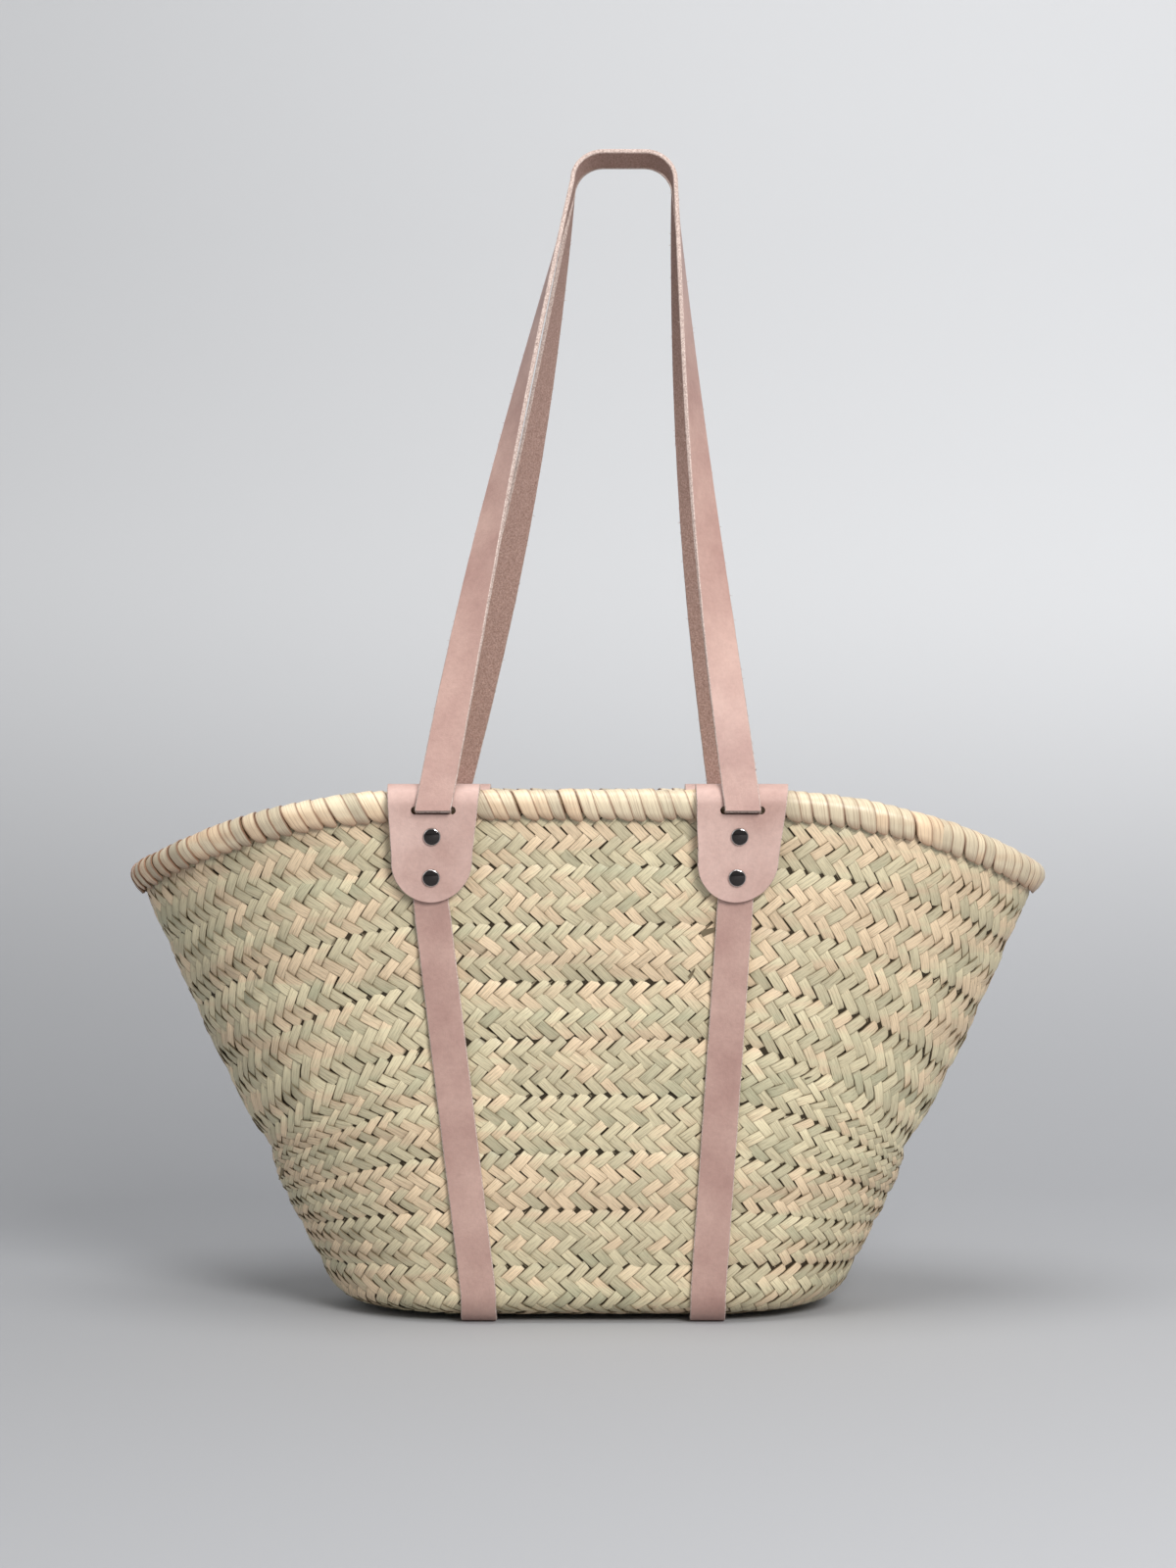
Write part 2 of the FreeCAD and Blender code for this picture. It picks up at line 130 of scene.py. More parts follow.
# A tree with named inputs. Values are set by the socket's identifier before anything is evaluated.
def newTree(name, sockets):
    tree = bpy.data.node_groups.new(name, "GeometryNodeTree")
    tree.interface.new_socket("Geometry", in_out="INPUT", socket_type="NodeSocketGeometry")
    for label, kind in sockets:
        tree.interface.new_socket(label, in_out="INPUT", socket_type="NodeSocket" + kind)
    tree.interface.new_socket("Geometry", in_out="OUTPUT", socket_type="NodeSocketGeometry")
    return tree, tree.nodes.new("NodeGroupInput").outputs


# Two short forms for one tree: arithmetic, and an even random value for each instance.
def mathFor(tree):
    def math(operation, a, b=0.0, c=0.0):
        return addNode(tree, "ShaderNodeMath", {0: a, 1: b, 2: c}, operation=operation).outputs[0]
    return math


def spreadFor(tree, seed):
    math = mathFor(tree)

    def spread(low, high, salt):
        return randomSize(tree, low, high, math("ADD", seed, salt))
    return spread


# Short forms: an object's own shape, the place of each point, a stored direction, a vector scaled.
def shapeOf(tree, item):
    info = addNode(tree, "GeometryNodeObjectInfo", {"Object": item}, transform_space="ORIGINAL")
    return info.outputs["Geometry"]


def placeOf(tree):
    return addNode(tree, "GeometryNodeInputPosition").outputs[0]


def storedOf(tree, label):
    stored = addNode(tree, "GeometryNodeInputNamedAttribute", {"Name": label}, data_type="FLOAT_VECTOR")
    return stored.outputs["Attribute"]


def scaleOf(tree, vector, factor):
    return addNode(tree, "ShaderNodeVectorMath", {0: vector, "Scale": factor}, operation="SCALE").outputs[0]


def combineOf(tree, x, y, z):
    return addNode(tree, "ShaderNodeCombineXYZ", {0: x, 1: y, 2: z}).outputs[0]


def partsOf(tree, vector):
    return addNode(tree, "ShaderNodeSeparateXYZ", {0: vector}).outputs


def compareOf(tree, first, second, operation):
    return addNode(tree, "FunctionNodeCompare", {0: first, 1: second}, data_type="FLOAT",
                   operation=operation).outputs[0]


# The rotation of each scattered point, turned on by chance between two limits.
def turnedOf(tree, points, low, high, seed):
    turn = addNode(tree, "FunctionNodeRandomValue", {0: low, 1: high, "Seed": seed},
                   data_type="FLOAT_VECTOR").outputs[0]
    return addNode(tree, "FunctionNodeRotateRotation", {0: points.outputs["Rotation"], 1: turn},
                   rotation_space="LOCAL").outputs[0]


def randomSize(tree, low, high, seed):
    chance = addNode(tree, "FunctionNodeRandomValue", {2: low, 3: high, "Seed": seed}, data_type="FLOAT")
    return chance.outputs[1]


def noiseOf(tree, place, scale, detail, roughness=0.5):
    return addNode(tree, "ShaderNodeTexNoise", {"Vector": place, "Scale": scale, "Detail": detail,
                                                "Roughness": roughness}).outputs["Fac"]


def rangeOf(tree, value, start, end, low, high, **settings):
    return addNode(tree, "ShaderNodeMapRange", {"Value": value, "From Min": start, "From Max": end,
                                                "To Min": low, "To Max": high}, **settings).outputs[0]


def mixOf(tree, share, first, second):
    return addNode(tree, "ShaderNodeMix", {"Factor": share, 6: first, 7: second}, data_type="RGBA").outputs[2]


def rampOf(tree, value, stops):
    return addNode(tree, "ShaderNodeValToRGB", {0: value}, stops=stops).outputs[0]


def sumOf(tree, first, second):
    return addNode(tree, "ShaderNodeVectorMath", {0: first, 1: second}, operation="ADD").outputs[0]


# A value of the wall's surface at a spot of its UV map.
def wallValue(tree, wall, spot, value):
    uv = storedOf(tree, "wallUv")
    return addNode(tree, "GeometryNodeSampleUVSurface", {
        "Mesh": wall, "Source UV Map": uv, "Sample UV": spot, "Value": value},
        data_type="FLOAT_VECTOR").outputs["Value"]


# The geometry made real, given its material and sent to the tree's output.
def endTree(tree, geometry, material):
    real = addNode(tree, "GeometryNodeRealizeInstances", {"Geometry": geometry}).outputs[0]
    painted = addNode(tree, "GeometryNodeSetMaterial", {"Geometry": real, "Material": material})
    last = tree.nodes.new("NodeGroupOutput")
    tree.links.new(painted.outputs[0], last.inputs[0])
    return tree


def growMesh(name, base, tree, values):
    holder = bpy.data.objects.new(name, base)
    modifier = holder.modifiers.new(name, "NODES")
    modifier.node_group = tree
    for item in tree.interface.items_tree:
        if item.in_out == "INPUT" and item.name in values:
            modifier[item.identifier] = values[item.name]
    scene.collection.objects.link(holder)
    depsgraph = bpy.context.evaluated_depsgraph_get()
    mesh = bpy.data.meshes.new_from_object(holder.evaluated_get(depsgraph))
    bpy.data.objects.remove(holder)
    mesh.name = name
    return mesh


def joinMeshes(name, meshes):
    joined = bmesh.new()
    for mesh in meshes:
        joined.from_mesh(mesh)
        bpy.data.meshes.remove(mesh)
    mesh = bpy.data.meshes.new(name)
    joined.to_mesh(mesh)
    joined.free()
    return mesh


# Shape of the woven body: the same surface as the frame's wall.
coreLow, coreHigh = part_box("rim_core")
body = dict(wallThickness=0.005, footHeight=0.015, footInset=0.014, baseHalfLength=0.142, baseHalfDepth=0.075,
            baseFlat=0.066, rimFlat=0.112, endRadius=0.045, swellLength=0.004, swellDepth=0.002,
            levelHalf=0.090, coreRadius=0.0061)
body["bottom"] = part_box("woven_base")[0].z
body["rimHeight"] = coreHigh.z - body["coreRadius"]
body["rimHalfLength"] = coreHigh.x - body["coreRadius"]
body["rimHalfDepth"] = coreHigh.y - body["coreRadius"]
body["droop"] = coreHigh.z - coreLow.z - 2 * body["coreRadius"]
body["baseReach"] = body["baseHalfDepth"] - body["footInset"]
body["footLength"] = 0.0208
body["sideLength"] = 0.279
body["length"] = body["baseReach"] + body["footLength"] + body["sideLength"]


# Half length, half depth and straight part of the wall's middle at a height.
def levelSizes(z):
    t = (z - body["bottom"]) / (body["rimHeight"] - body["droop"] - body["bottom"])
    halfLength = body["baseHalfLength"] + (body["rimHalfLength"] - body["baseHalfLength"]) * t
    halfLength += body["swellLength"] * 4 * t * (1 - t)
    t = (z - body["bottom"]) / (body["rimHeight"] - body["bottom"])
    halfDepth = body["baseHalfDepth"] + (body["rimHalfDepth"] - body["baseHalfDepth"]) * t
    halfDepth += body["swellDepth"] * 4 * t * (1 - t)
    return halfLength, halfDepth, body["baseFlat"] + (body["rimFlat"] - body["baseFlat"]) * t


def rimDrop(x):
    span = body["rimHalfLength"] - body["levelHalf"]
    radius = (span ** 2 + body["droop"] ** 2) / (2 * body["droop"])
    over = max(0.0, abs(x) - body["levelHalf"])
    return radius - sqrt(radius ** 2 - over ** 2)


# A point on an outline at this share of its length, and its girth. It starts at the middle of the back
# and runs to the right as seen from outside.
def outlinePoint(share, halfLength, halfDepth, flat, radius):
    endX = halfLength - radius
    reach = endX - flat
    sideRadius = (reach ** 2 + halfDepth ** 2 - radius ** 2) / (2 * (halfDepth - radius))
    sideY = halfDepth - sideRadius
    turn = atan2(reach, -sideY)
    quarter = flat + sideRadius * turn + radius * (pi / 2 - turn)
    part, rest = divmod(share % 1.0 * 4, 1)
    run = quarter * (rest if part in (0, 2) else 1 - rest)
    if run < flat:
        x, y = run, halfDepth
    elif run < flat + sideRadius * turn:
        angle = (run - flat) / sideRadius
        x, y = flat + sideRadius * sin(angle), sideY + sideRadius * cos(angle)
    else:
        angle = turn + (run - flat - sideRadius * turn) / radius
        x, y = endX + radius * sin(angle), radius * cos(angle)
    return (-x if part < 2 else x), (y if part in (0, 3) else -y), quarter * 4


# A point on the middle of the woven body. Along runs from the middle of the base out and up to the rim.
def bodyPoint(share, along):
    foot = body["bottom"] + body["footHeight"]
    drop = body["footHeight"] - body["wallThickness"] / 2
    climb = (along - body["baseReach"] - body["footLength"]) / body["sideLength"]
    if climb > 0:
        z = foot + (body["rimHeight"] - foot) * climb
        x = 0.0
        for step in range(6):
            halfLength, halfDepth, flat = levelSizes(z)
            x, y, girth = outlinePoint(share, halfLength, halfDepth, flat, body["endRadius"])
            z = foot + (body["rimHeight"] - rimDrop(x / max(climb, 0.5)) - foot) * climb
        return Vector((x, y, z)), girth
    angle = pi / 2 * max(0.0, (along - body["baseReach"]) / body["footLength"])
    inset = body["footInset"] * (1 - sin(angle)) + max(0.0, body["baseReach"] - along)
    z = foot - drop * cos(angle)
    halfLength, halfDepth, flat = levelSizes(z)
    inset = min(inset, halfDepth - 0.0008)
    radius = max(0.0005, min(body["endRadius"] - inset, 0.8 * (halfDepth - inset)))
    x, y, girth = outlinePoint(share, halfLength - inset, halfDepth - inset, flat, radius)
    return Vector((x, y, z)), girth


# The surface that the weave is laid on, a little more than once round, with its outward direction kept.
surface = dict(around=300, up=96, spare=0.05)


def bodySurface():
    around, up, spare = surface["around"], surface["up"], surface["spare"]
    rows = []
    for j in range(up + 1):
        along = body["length"] * j / up
        rows.append([bodyPoint(-spare + (1 + 2 * spare) * i / around, along)[0] for i in range(around + 1)])
    mesh = bpy.data.meshes.new("bodySurface")
    count = around + 1
    faces = [(j * count + i, j * count + i + 1, (j + 1) * count + i + 1, (j + 1) * count + i)
             for j in range(up) for i in range(around)]
    mesh.from_pydata([p for row in rows for p in row], [], faces)
    layer = mesh.uv_layers.new(name="wallUv")
    for polygon in mesh.polygons:
        for loop, vertex in zip(polygon.loop_indices, polygon.vertices):
            j, i = divmod(vertex, count)
            layer.data[loop].uv = (i / around, j / up)
    outward = mesh.attributes.new("wallOut", "FLOAT_VECTOR", "POINT")
    rising = mesh.attributes.new("wallUp", "FLOAT_VECTOR", "POINT")
    for j in range(up + 1):
        for i in range(around + 1):
            low, high = rows[max(j - 1, 0)][i], rows[min(j + 1, up)][i]
            side = rows[j][min(i + 1, around)] - rows[j][max(i - 1, 0)]
            outward.data[j * count + i].vector = side.cross(high - low).normalized()
            rising.data[j * count + i].vector = (high - low).normalized()
    return mesh


# Plaited leaf.
plait = dict(courses=11, rows=4, pitch=0.0091, lean=radians(42), leafWidth=0.0064, leafLength=0.0158,
             leafThickness=0.0007, tuck=0.0014, liftOut=0.0007, liftIn=0.0007, bulge=0.0011, topGap=0.003,
             slip=(0.0004, 0.0003), wander=(0.004, 0.0035))


# One visible float of leaf, lying along X: its ends dip under the floats that cross it.
def leafFloat():
    half = plait["leafLength"] / 2
    wide = plait["leafWidth"] / 2
    thin = plait["leafThickness"]
    rings = []
    for share, dip, narrow in ((-1, 1, 0.9), (-0.78, 0.42, 1), (-0.42, 0.03, 1), (0.42, 0.03, 1),
                               (0.78, 0.42, 1), (1, 1, 0.9)):
        z = thin - plait["tuck"] * dip
        w = wide * narrow
        outline = ((-w, -0.9), (w, -0.9), (w * 0.98, -0.05), (0, 0.10), (-w * 0.98, -0.05))
        rings.append([Vector((share * half, y, z + rise * thin)) for y, rise in outline])
    mesh = loftMesh("leafFloat", rings)
    layer = mesh.uv_layers["UVMap"]
    for polygon in mesh.polygons:
        for loop, vertex in zip(polygon.loop_indices, polygon.vertices):
            place = mesh.vertices[vertex].co
            layer.data[loop].uv = (place.x / plait["leafLength"] + 0.5, place.y / plait["leafWidth"] + 0.5)
    mesh.set_sharp_from_angle(angle=radians(30))
    return bpy.data.objects.new("leafFloat", mesh)


def plaitTree():
    tree, given = newTree("plaitCourse", [
        ("Leaf", "Object"), ("Round Count", "Int"), ("Rows", "Int"), ("Round Length", "Float"),
        ("Bottom", "Float"), ("Height", "Float"), ("Wall Length", "Float"), ("Spare", "Float"),
        ("Side", "Float"), ("Lift", "Float"), ("Bulge", "Float"), ("Lean", "Float"), ("Seed", "Int"),
        ("Material", "Material")])
    math = mathFor(tree)
    spread = spreadFor(tree, given["Seed"])
    # one point for each float, in rows that lean left and right in turn, each row half a step along
    index = addNode(tree, "GeometryNodeInputIndex").outputs[0]
    row = math("FLOOR", math("DIVIDE", index, given["Round Count"]))
    column = math("SUBTRACT", index, math("MULTIPLY", row, given["Round Count"]))
    odd = math("MODULO", row, 2.0)
    step = math("DIVIDE", given["Round Length"], given["Round Count"])
    x = math("MULTIPLY", math("ADD", column, math("MULTIPLY", odd, 0.5)), step)
    rowShare = math("DIVIDE", math("ADD", row, 0.5), given["Rows"])
    y = math("ADD", given["Bottom"], math("MULTIPLY", given["Height"], rowShare))
    slipX, slipY = plait["slip"]
    slipped = combineOf(tree, math("ADD", x, spread(-slipX, slipX, 1)),
                        math("ADD", y, spread(-slipY, slipY, 2)), spread(-0.00012, 0.00016, 3))
    total = math("MULTIPLY", given["Round Count"], given["Rows"])
    line = addNode(tree, "GeometryNodeMeshLine", {"Count": total})
    points = addNode(tree, "GeometryNodeSetPosition", {"Geometry": line.outputs[0], "Position": slipped})
    # the floats, each turned and sized a little by chance
    slant = math("MULTIPLY", given["Lean"], math("SUBTRACT", math("MULTIPLY", odd, 2.0), 1.0))
    turn = combineOf(tree, spread(-0.04, 0.2, 4), spread(-0.05, 0.05, 5),
                     math("ADD", slant, spread(-0.08, 0.08, 6)))
    size = combineOf(tree, spread(0.95, 1.05, 7), spread(0.87, 1.03, 8), 1.0)
    placed = addNode(tree, "GeometryNodeInstanceOnPoints", {
        "Points": points.outputs[0], "Instance": shapeOf(tree, given["Leaf"]), "Rotation": turn,
        "Scale": size})
    toned = addNode(tree, "GeometryNodeStoreNamedAttribute", {
        "Geometry": placed.outputs[0], "Name": "tone", "Value": spread(0.0, 1.0, 9)},
        data_type="FLOAT", domain="INSTANCE")
    real = addNode(tree, "GeometryNodeRealizeInstances", {"Geometry": toned.outputs[0]})
    place = partsOf(tree, placeOf(tree))
    # rows wander a little, as hand plaiting does
    wanderPlace = combineOf(tree, math("MULTIPLY", place[0], 14.0), math("MULTIPLY", place[1], 20.0),
                            given["Seed"])
    wander = addNode(tree, "ShaderNodeTexNoise", {"Vector": wanderPlace, "Scale": 1.0, "Detail": 1.0})
    shift = partsOf(tree, wander.outputs["Color"])
    wanderX, wanderY = plait["wander"]
    movedX = math("ADD", place[0], math("MULTIPLY", math("SUBTRACT", shift[0], 0.5), wanderX))
    movedY = math("ADD", place[1], math("MULTIPLY", math("SUBTRACT", shift[1], 0.5), wanderY))
    # laid on the wall, and raised over the middle of the course
    u = math("DIVIDE", math("ADD", math("DIVIDE", movedX, given["Round Length"]), given["Spare"]),
             math("ADD", math("MULTIPLY", given["Spare"], 2.0), 1.0))
    v = math("MINIMUM", math("MAXIMUM", math("DIVIDE", movedY, given["Wall Length"]), 0.0015), 0.9995)
    spot = combineOf(tree, u, v, 0.0)
    where, outward = [wallValue(tree, given["Geometry"], spot, value)
                      for value in (placeOf(tree), storedOf(tree, "wallOut"))]
    climbed = math("DIVIDE", math("SUBTRACT", place[1], given["Bottom"]), given["Height"])
    across = math("SUBTRACT", math("MULTIPLY", climbed, 2.0), 1.0)
    crown = math("SUBTRACT", 1.0, math("POWER", math("ABSOLUTE", across), 2.5))
    swell = math("MULTIPLY", given["Bulge"], math("MAXIMUM", crown, -0.2))
    rise = math("MULTIPLY", given["Side"], math("ADD", math("ADD", place[2], given["Lift"]), swell))
    raised = sumOf(tree, where, scaleOf(tree, outward, rise))
    moved = addNode(tree, "GeometryNodeSetPosition", {"Geometry": real.outputs[0], "Position": raised})
    inside = compareOf(tree, given["Side"], 0.0, "LESS_THAN")
    flipped = addNode(tree, "GeometryNodeFlipFaces", {"Mesh": moved.outputs[0], "Selection": inside})
    return endTree(tree, flipped.outputs[0], given["Material"])


# Dried palm leaf, split and plaited: pale straw with green and peach stretches, fine veins along each float,
# painted shade at the edges.
def palmLeaf(name, base, warm, green, dark, shine, edge=0.84):
    material, tree, shader = newMaterial(name)
    math = mathFor(tree)
    uv = addNode(tree, "ShaderNodeUVMap", uv_map="UVMap").outputs[0]
    tone = addNode(tree, "ShaderNodeAttribute", attribute_name="tone").outputs["Fac"]
    place = addNode(tree, "ShaderNodeTexCoord").outputs["Object"]
    stretched = addNode(tree, "ShaderNodeMapping", {"Vector": place, "Scale": (7.0, 7.0, 75.0)}).outputs[0]
    patch = noiseOf(tree, stretched, 1.0, 2.0)
    hue = rampOf(tree, math("ADD", math("MULTIPLY", tone, 0.34), patch),
                 [(0.36, green), (0.94, warm), (0.56, base), (0.68, base), (0.80, warm)])
    # veins run along the float, about half a millimetre apart
    veinPlace = addNode(tree, "ShaderNodeMapping", {"Vector": uv, "Scale": (1.6, 13.0, 1.0)}).outputs[0]
    apart = addNode(tree, "ShaderNodeVectorMath", {
        0: combineOf(tree, tone, tone, tone), 1: (37.0, 91.0, 17.0), 2: veinPlace},
        operation="MULTIPLY_ADD").outputs[0]
    vein = noiseOf(tree, apart, 1.0, 3.0, 0.7)
    veined = mixOf(tree, rangeOf(tree, vein, 0.46, 0.76, 0.0, 0.6), hue, toLinear(dark))
    lit = scaleOf(tree, veined, rangeOf(tree, tone, 0.0, 1.0, 0.80, 1.20))
    # painted shade: the long edges (from edge outwards) and the tucked ends are darkened, where floats dive
    # under each other
    halves = addNode(tree, "ShaderNodeVectorMath", {0: uv, 1: (2.0, 2.0, 0.0), 2: (-1.0, -1.0, 0.0)},
                     operation="MULTIPLY_ADD").outputs[0]
    edges = partsOf(tree, addNode(tree, "ShaderNodeVectorMath", {0: halves}, operation="ABSOLUTE").outputs[0])
    paintedEndShade = rangeOf(tree, edges[0], 0.76, 1.0, 0.0, 0.8)
    paintedSideShade = rangeOf(tree, edges[1], edge, 1.0, 0.0, 0.85)
    colour = mixOf(tree, math("MAXIMUM", paintedEndShade, paintedSideShade), lit, toLinear(dark))
    tree.links.new(colour, shader.inputs["Base Color"])
    tree.links.new(rangeOf(tree, vein, 0.0, 1.0, shine, shine + 0.22), shader.inputs["Roughness"])
    bump = addNode(tree, "ShaderNodeBump", {"Height": vein, "Strength": 0.55, "Distance": 0.0003})
    tree.links.new(bump.outputs[0], shader.inputs["Normal"])
    shader.inputs["IOR"].default_value = 1.45
    return material


def makePlait(wall, leafMaterial):
    leaf = leafFloat()
    tree = plaitTree()
    height = (body["length"] - plait["topGap"]) / plait["courses"]
    for k in range(plait["courses"]):
        bottom = height * k
        girth = bodyPoint(0.0, bottom + height / 2)[1]
        values = {"Leaf": leaf, "Round Count": max(8, round(girth / plait["pitch"])), "Rows": plait["rows"],
                  "Round Length": girth, "Bottom": bottom, "Height": height, "Wall Length": body["length"],
                  "Spare": surface["spare"], "Lean": plait["lean"], "Bulge": plait["bulge"],
                  "Material": leafMaterial}
        sides = []
        for side, lift in ((1.0, plait["liftOut"]), (-1.0, plait["liftIn"])):
            values.update({"Side": side, "Lift": lift, "Seed": 100 * k + (7 if side > 0 else 57)})
            sides.append(growMesh("course", wall, tree, values))
        mesh = joinMeshes("course", sides)
        piece = newObject("plaitCourse_%02d" % (k + 1), mesh, [leafMaterial])
        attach(piece, "basket")
    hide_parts("woven_base")
    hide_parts("woven_wall")


# Broken leaf ends that stand out of the plait here and there.
stub = dict(length=0.011, width=0.0032, thickness=0.0003, curl=0.0035, density=60.0, lift=0.0022)


def leafStub():
    rings = []
    for k in range(5):
        share = k / 4
        half = stub["width"] / 2 * (1 - 0.7 * share ** 2)
        x, z = stub["length"] * share, stub["curl"] * share ** 2
        rings.append([Vector((x, half, z + stub["thickness"])), Vector((x, -half, z + stub["thickness"])),
                      Vector((x, -half, z)), Vector((x, half, z))][::-1])
    mesh = loftMesh("leafStub", rings)
    mesh.set_sharp_from_angle(angle=radians(40))
    return bpy.data.objects.new("leafStub", mesh)


def stubTree():
    tree, given = newTree("leafStubs", [
        ("Stub", "Object"), ("Density", "Float"), ("Lift", "Float"), ("Lowest", "Float"),
        ("Highest", "Float"), ("Seed", "Int"), ("Material", "Material")])
    height = partsOf(tree, placeOf(tree))[2]
    both = addNode(tree, "FunctionNodeBooleanMath", {
        0: compareOf(tree, height, given["Lowest"], "GREATER_THAN"),
        1: compareOf(tree, height, given["Highest"], "LESS_THAN")}, operation="AND").outputs[0]
    points = addNode(tree, "GeometryNodeDistributePointsOnFaces", {
        "Mesh": given["Geometry"], "Selection": both, "Density": given["Density"], "Seed": given["Seed"]})
    raised = addNode(tree, "GeometryNodeSetPosition", {
        "Geometry": points.outputs[0], "Offset": scaleOf(tree, points.outputs["Normal"], given["Lift"])})
    spun = turnedOf(tree, points, (-0.3, -0.35, -3.1), (0.3, 0.1, 3.1), given["Seed"])
    placed = addNode(tree, "GeometryNodeInstanceOnPoints", {
        "Points": raised.outputs[0], "Instance": shapeOf(tree, given["Stub"]), "Rotation": spun,
        "Scale": randomSize(tree, 0.35, 1.1, given["Seed"])})
    return endTree(tree, placed.outputs[0], given["Material"])


def makeStubs(wall, material):
    values = {"Stub": leafStub(), "Density": stub["density"], "Lift": stub["lift"], "Lowest": 0.05,
              "Highest": 0.245, "Seed": 5, "Material": material}
    piece = newObject("leafStubs", growMesh("leafStubs", wall, stubTree(), values), [material])
    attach(piece, "basket")
    print("leaf stubs", len(piece.data.polygons) // 18)


# The strands inside the plait, seen only between the floats: a shell darkened as painted shade for the gaps.
hidden = dict(around=160, up=70, thickness=0.0014, start=0.0006)


def makeHidden(material):
    around, up = hidden["around"], hidden["up"]
    lines = []
    for j in range(up + 1):
        along = hidden["start"] + (body["length"] - hidden["start"]) * j / up
        lines.append([bodyPoint(i / around, along)[0] for i in range(around)])
    mesh = bpy.data.meshes.new("hiddenStrands")
    faces = [(j * around + i, j * around + (i + 1) % around, (j + 1) * around + (i + 1) % around,
              (j + 1) * around + i) for j in range(up) for i in range(around)]
    faces.append(tuple(range(around))[::-1])
    mesh.from_pydata([p for line in lines for p in line], [], faces)
    piece = newObject("hiddenStrands", mesh, [material])
    thick = piece.modifiers.new("thickness", "SOLIDIFY")
    thick.thickness = hidden["thickness"]
    thick.offset = 0
    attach(piece, "basket")


# Rim: a core of leaf fibre and the glossy strip wound over it.
rim = dict(pitch=0.0087, stripWidth=0.0097, radius=0.0069, thickness=0.0007, outerEnd=0.0095, innerEnd=0.0085,
           slantOut=0.0085, slantIn=-0.0045, raised=0.0009, steps=14, coreSteps=240, coreSides=12, lump=0.03,
           lumpScale=60)


def makeRimCore(material):
    rings = []
    count, sides = rim["coreSteps"], rim["coreSides"]
    for k in range(count):
        middle = bodyPoint(k / count, body["length"])[0]
        up = (middle - bodyPoint(k / count, body["length"] - 0.01)[0]).normalized()
        run = bodyPoint((k + 1) / count, body["length"])[0] - bodyPoint((k - 1) / count, body["length"])[0]
        out = run.cross(up).normalized()
        ring = []
        for j in range(sides):
            angle = -2 * pi * j / sides
            lump = 1 + rim["lump"] * noise.noise(middle * rim["lumpScale"] + Vector((j, 0, 0)))
            ring.append(middle + (out * cos(angle) + up * sin(angle)) * (body["coreRadius"] * lump))
        rings.append(ring)
    piece = newObject("rimCore", loftMesh("rimCore", rings, closeRun=True), [material])
    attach(piece, "basket")
    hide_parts("rim_core")


# One turn of the strip, flat: X along the rim, Y outwards, Z up. Its ends narrow and tuck under.
def rimStrip():
    radius, outerEnd, innerEnd = rim["radius"], rim["outerEnd"], rim["innerEnd"]
    line = [(-1, radius * 0.62, -outerEnd, 0.35), (-0.9, radius * 0.70, -outerEnd * 0.86, 0.8),
            (-0.7, radius * 0.88, -outerEnd * 0.55, 0.97)]
    for k in range(rim["steps"] + 1):
        angle = pi * (-0.08 + 1.16 * k / rim["steps"])
        line.append((-0.55 + 1.1 * k / rim["steps"], radius * cos(angle), radius * sin(angle), 1))
    line += [(0.8, -radius * 0.80, -innerEnd * 0.7, 0.95), (1, -radius * 0.6, -innerEnd, 0.5)]
    rings = []
    for k, (share, out, up, wide) in enumerate(line):
        before, after = line[max(k - 1, 0)], line[min(k + 1, len(line) - 1)]
        face = Vector((0, -(after[2] - before[2]), after[1] - before[1])).normalized() * -1
        middle = Vector((0, out, up))
        middle.x = -share * rim["slantOut"] if share < 0 else share * rim["slantIn"]
        half = rim["stripWidth"] / 2 * wide
        ring = []
        for across, rise in ((-1, 0.0), (-0.6, 0.16), (0, 0.24), (0.6, 0.16), (1, 0.0)):
            lift = rise * 0.001 + rim["raised"] * across / 2 + rim["thickness"] / 2
            ring.append(middle + Vector((across * half, 0, 0)) + face * lift)
        for across in (1, -1):
            lift = rim["raised"] * across / 2 - rim["thickness"] / 2
            ring.append(middle + Vector((across * half, 0, 0)) + face * lift)
        rings.append(ring[::-1])
    mesh = loftMesh("rimStrip", rings)
    layer = mesh.uv_layers["UVMap"]
    for polygon in mesh.polygons:
        for loop, vertex in zip(polygon.loop_indices, polygon.vertices):
            station, part = divmod(vertex, 7)
            layer.data[loop].uv = (station / (len(rings) - 1), (0, 1, 1, 0.8, 0.5, 0.2, 0)[part])
    mesh.set_sharp_from_angle(angle=radians(50))
    return bpy.data.objects.new("rimStrip", mesh)


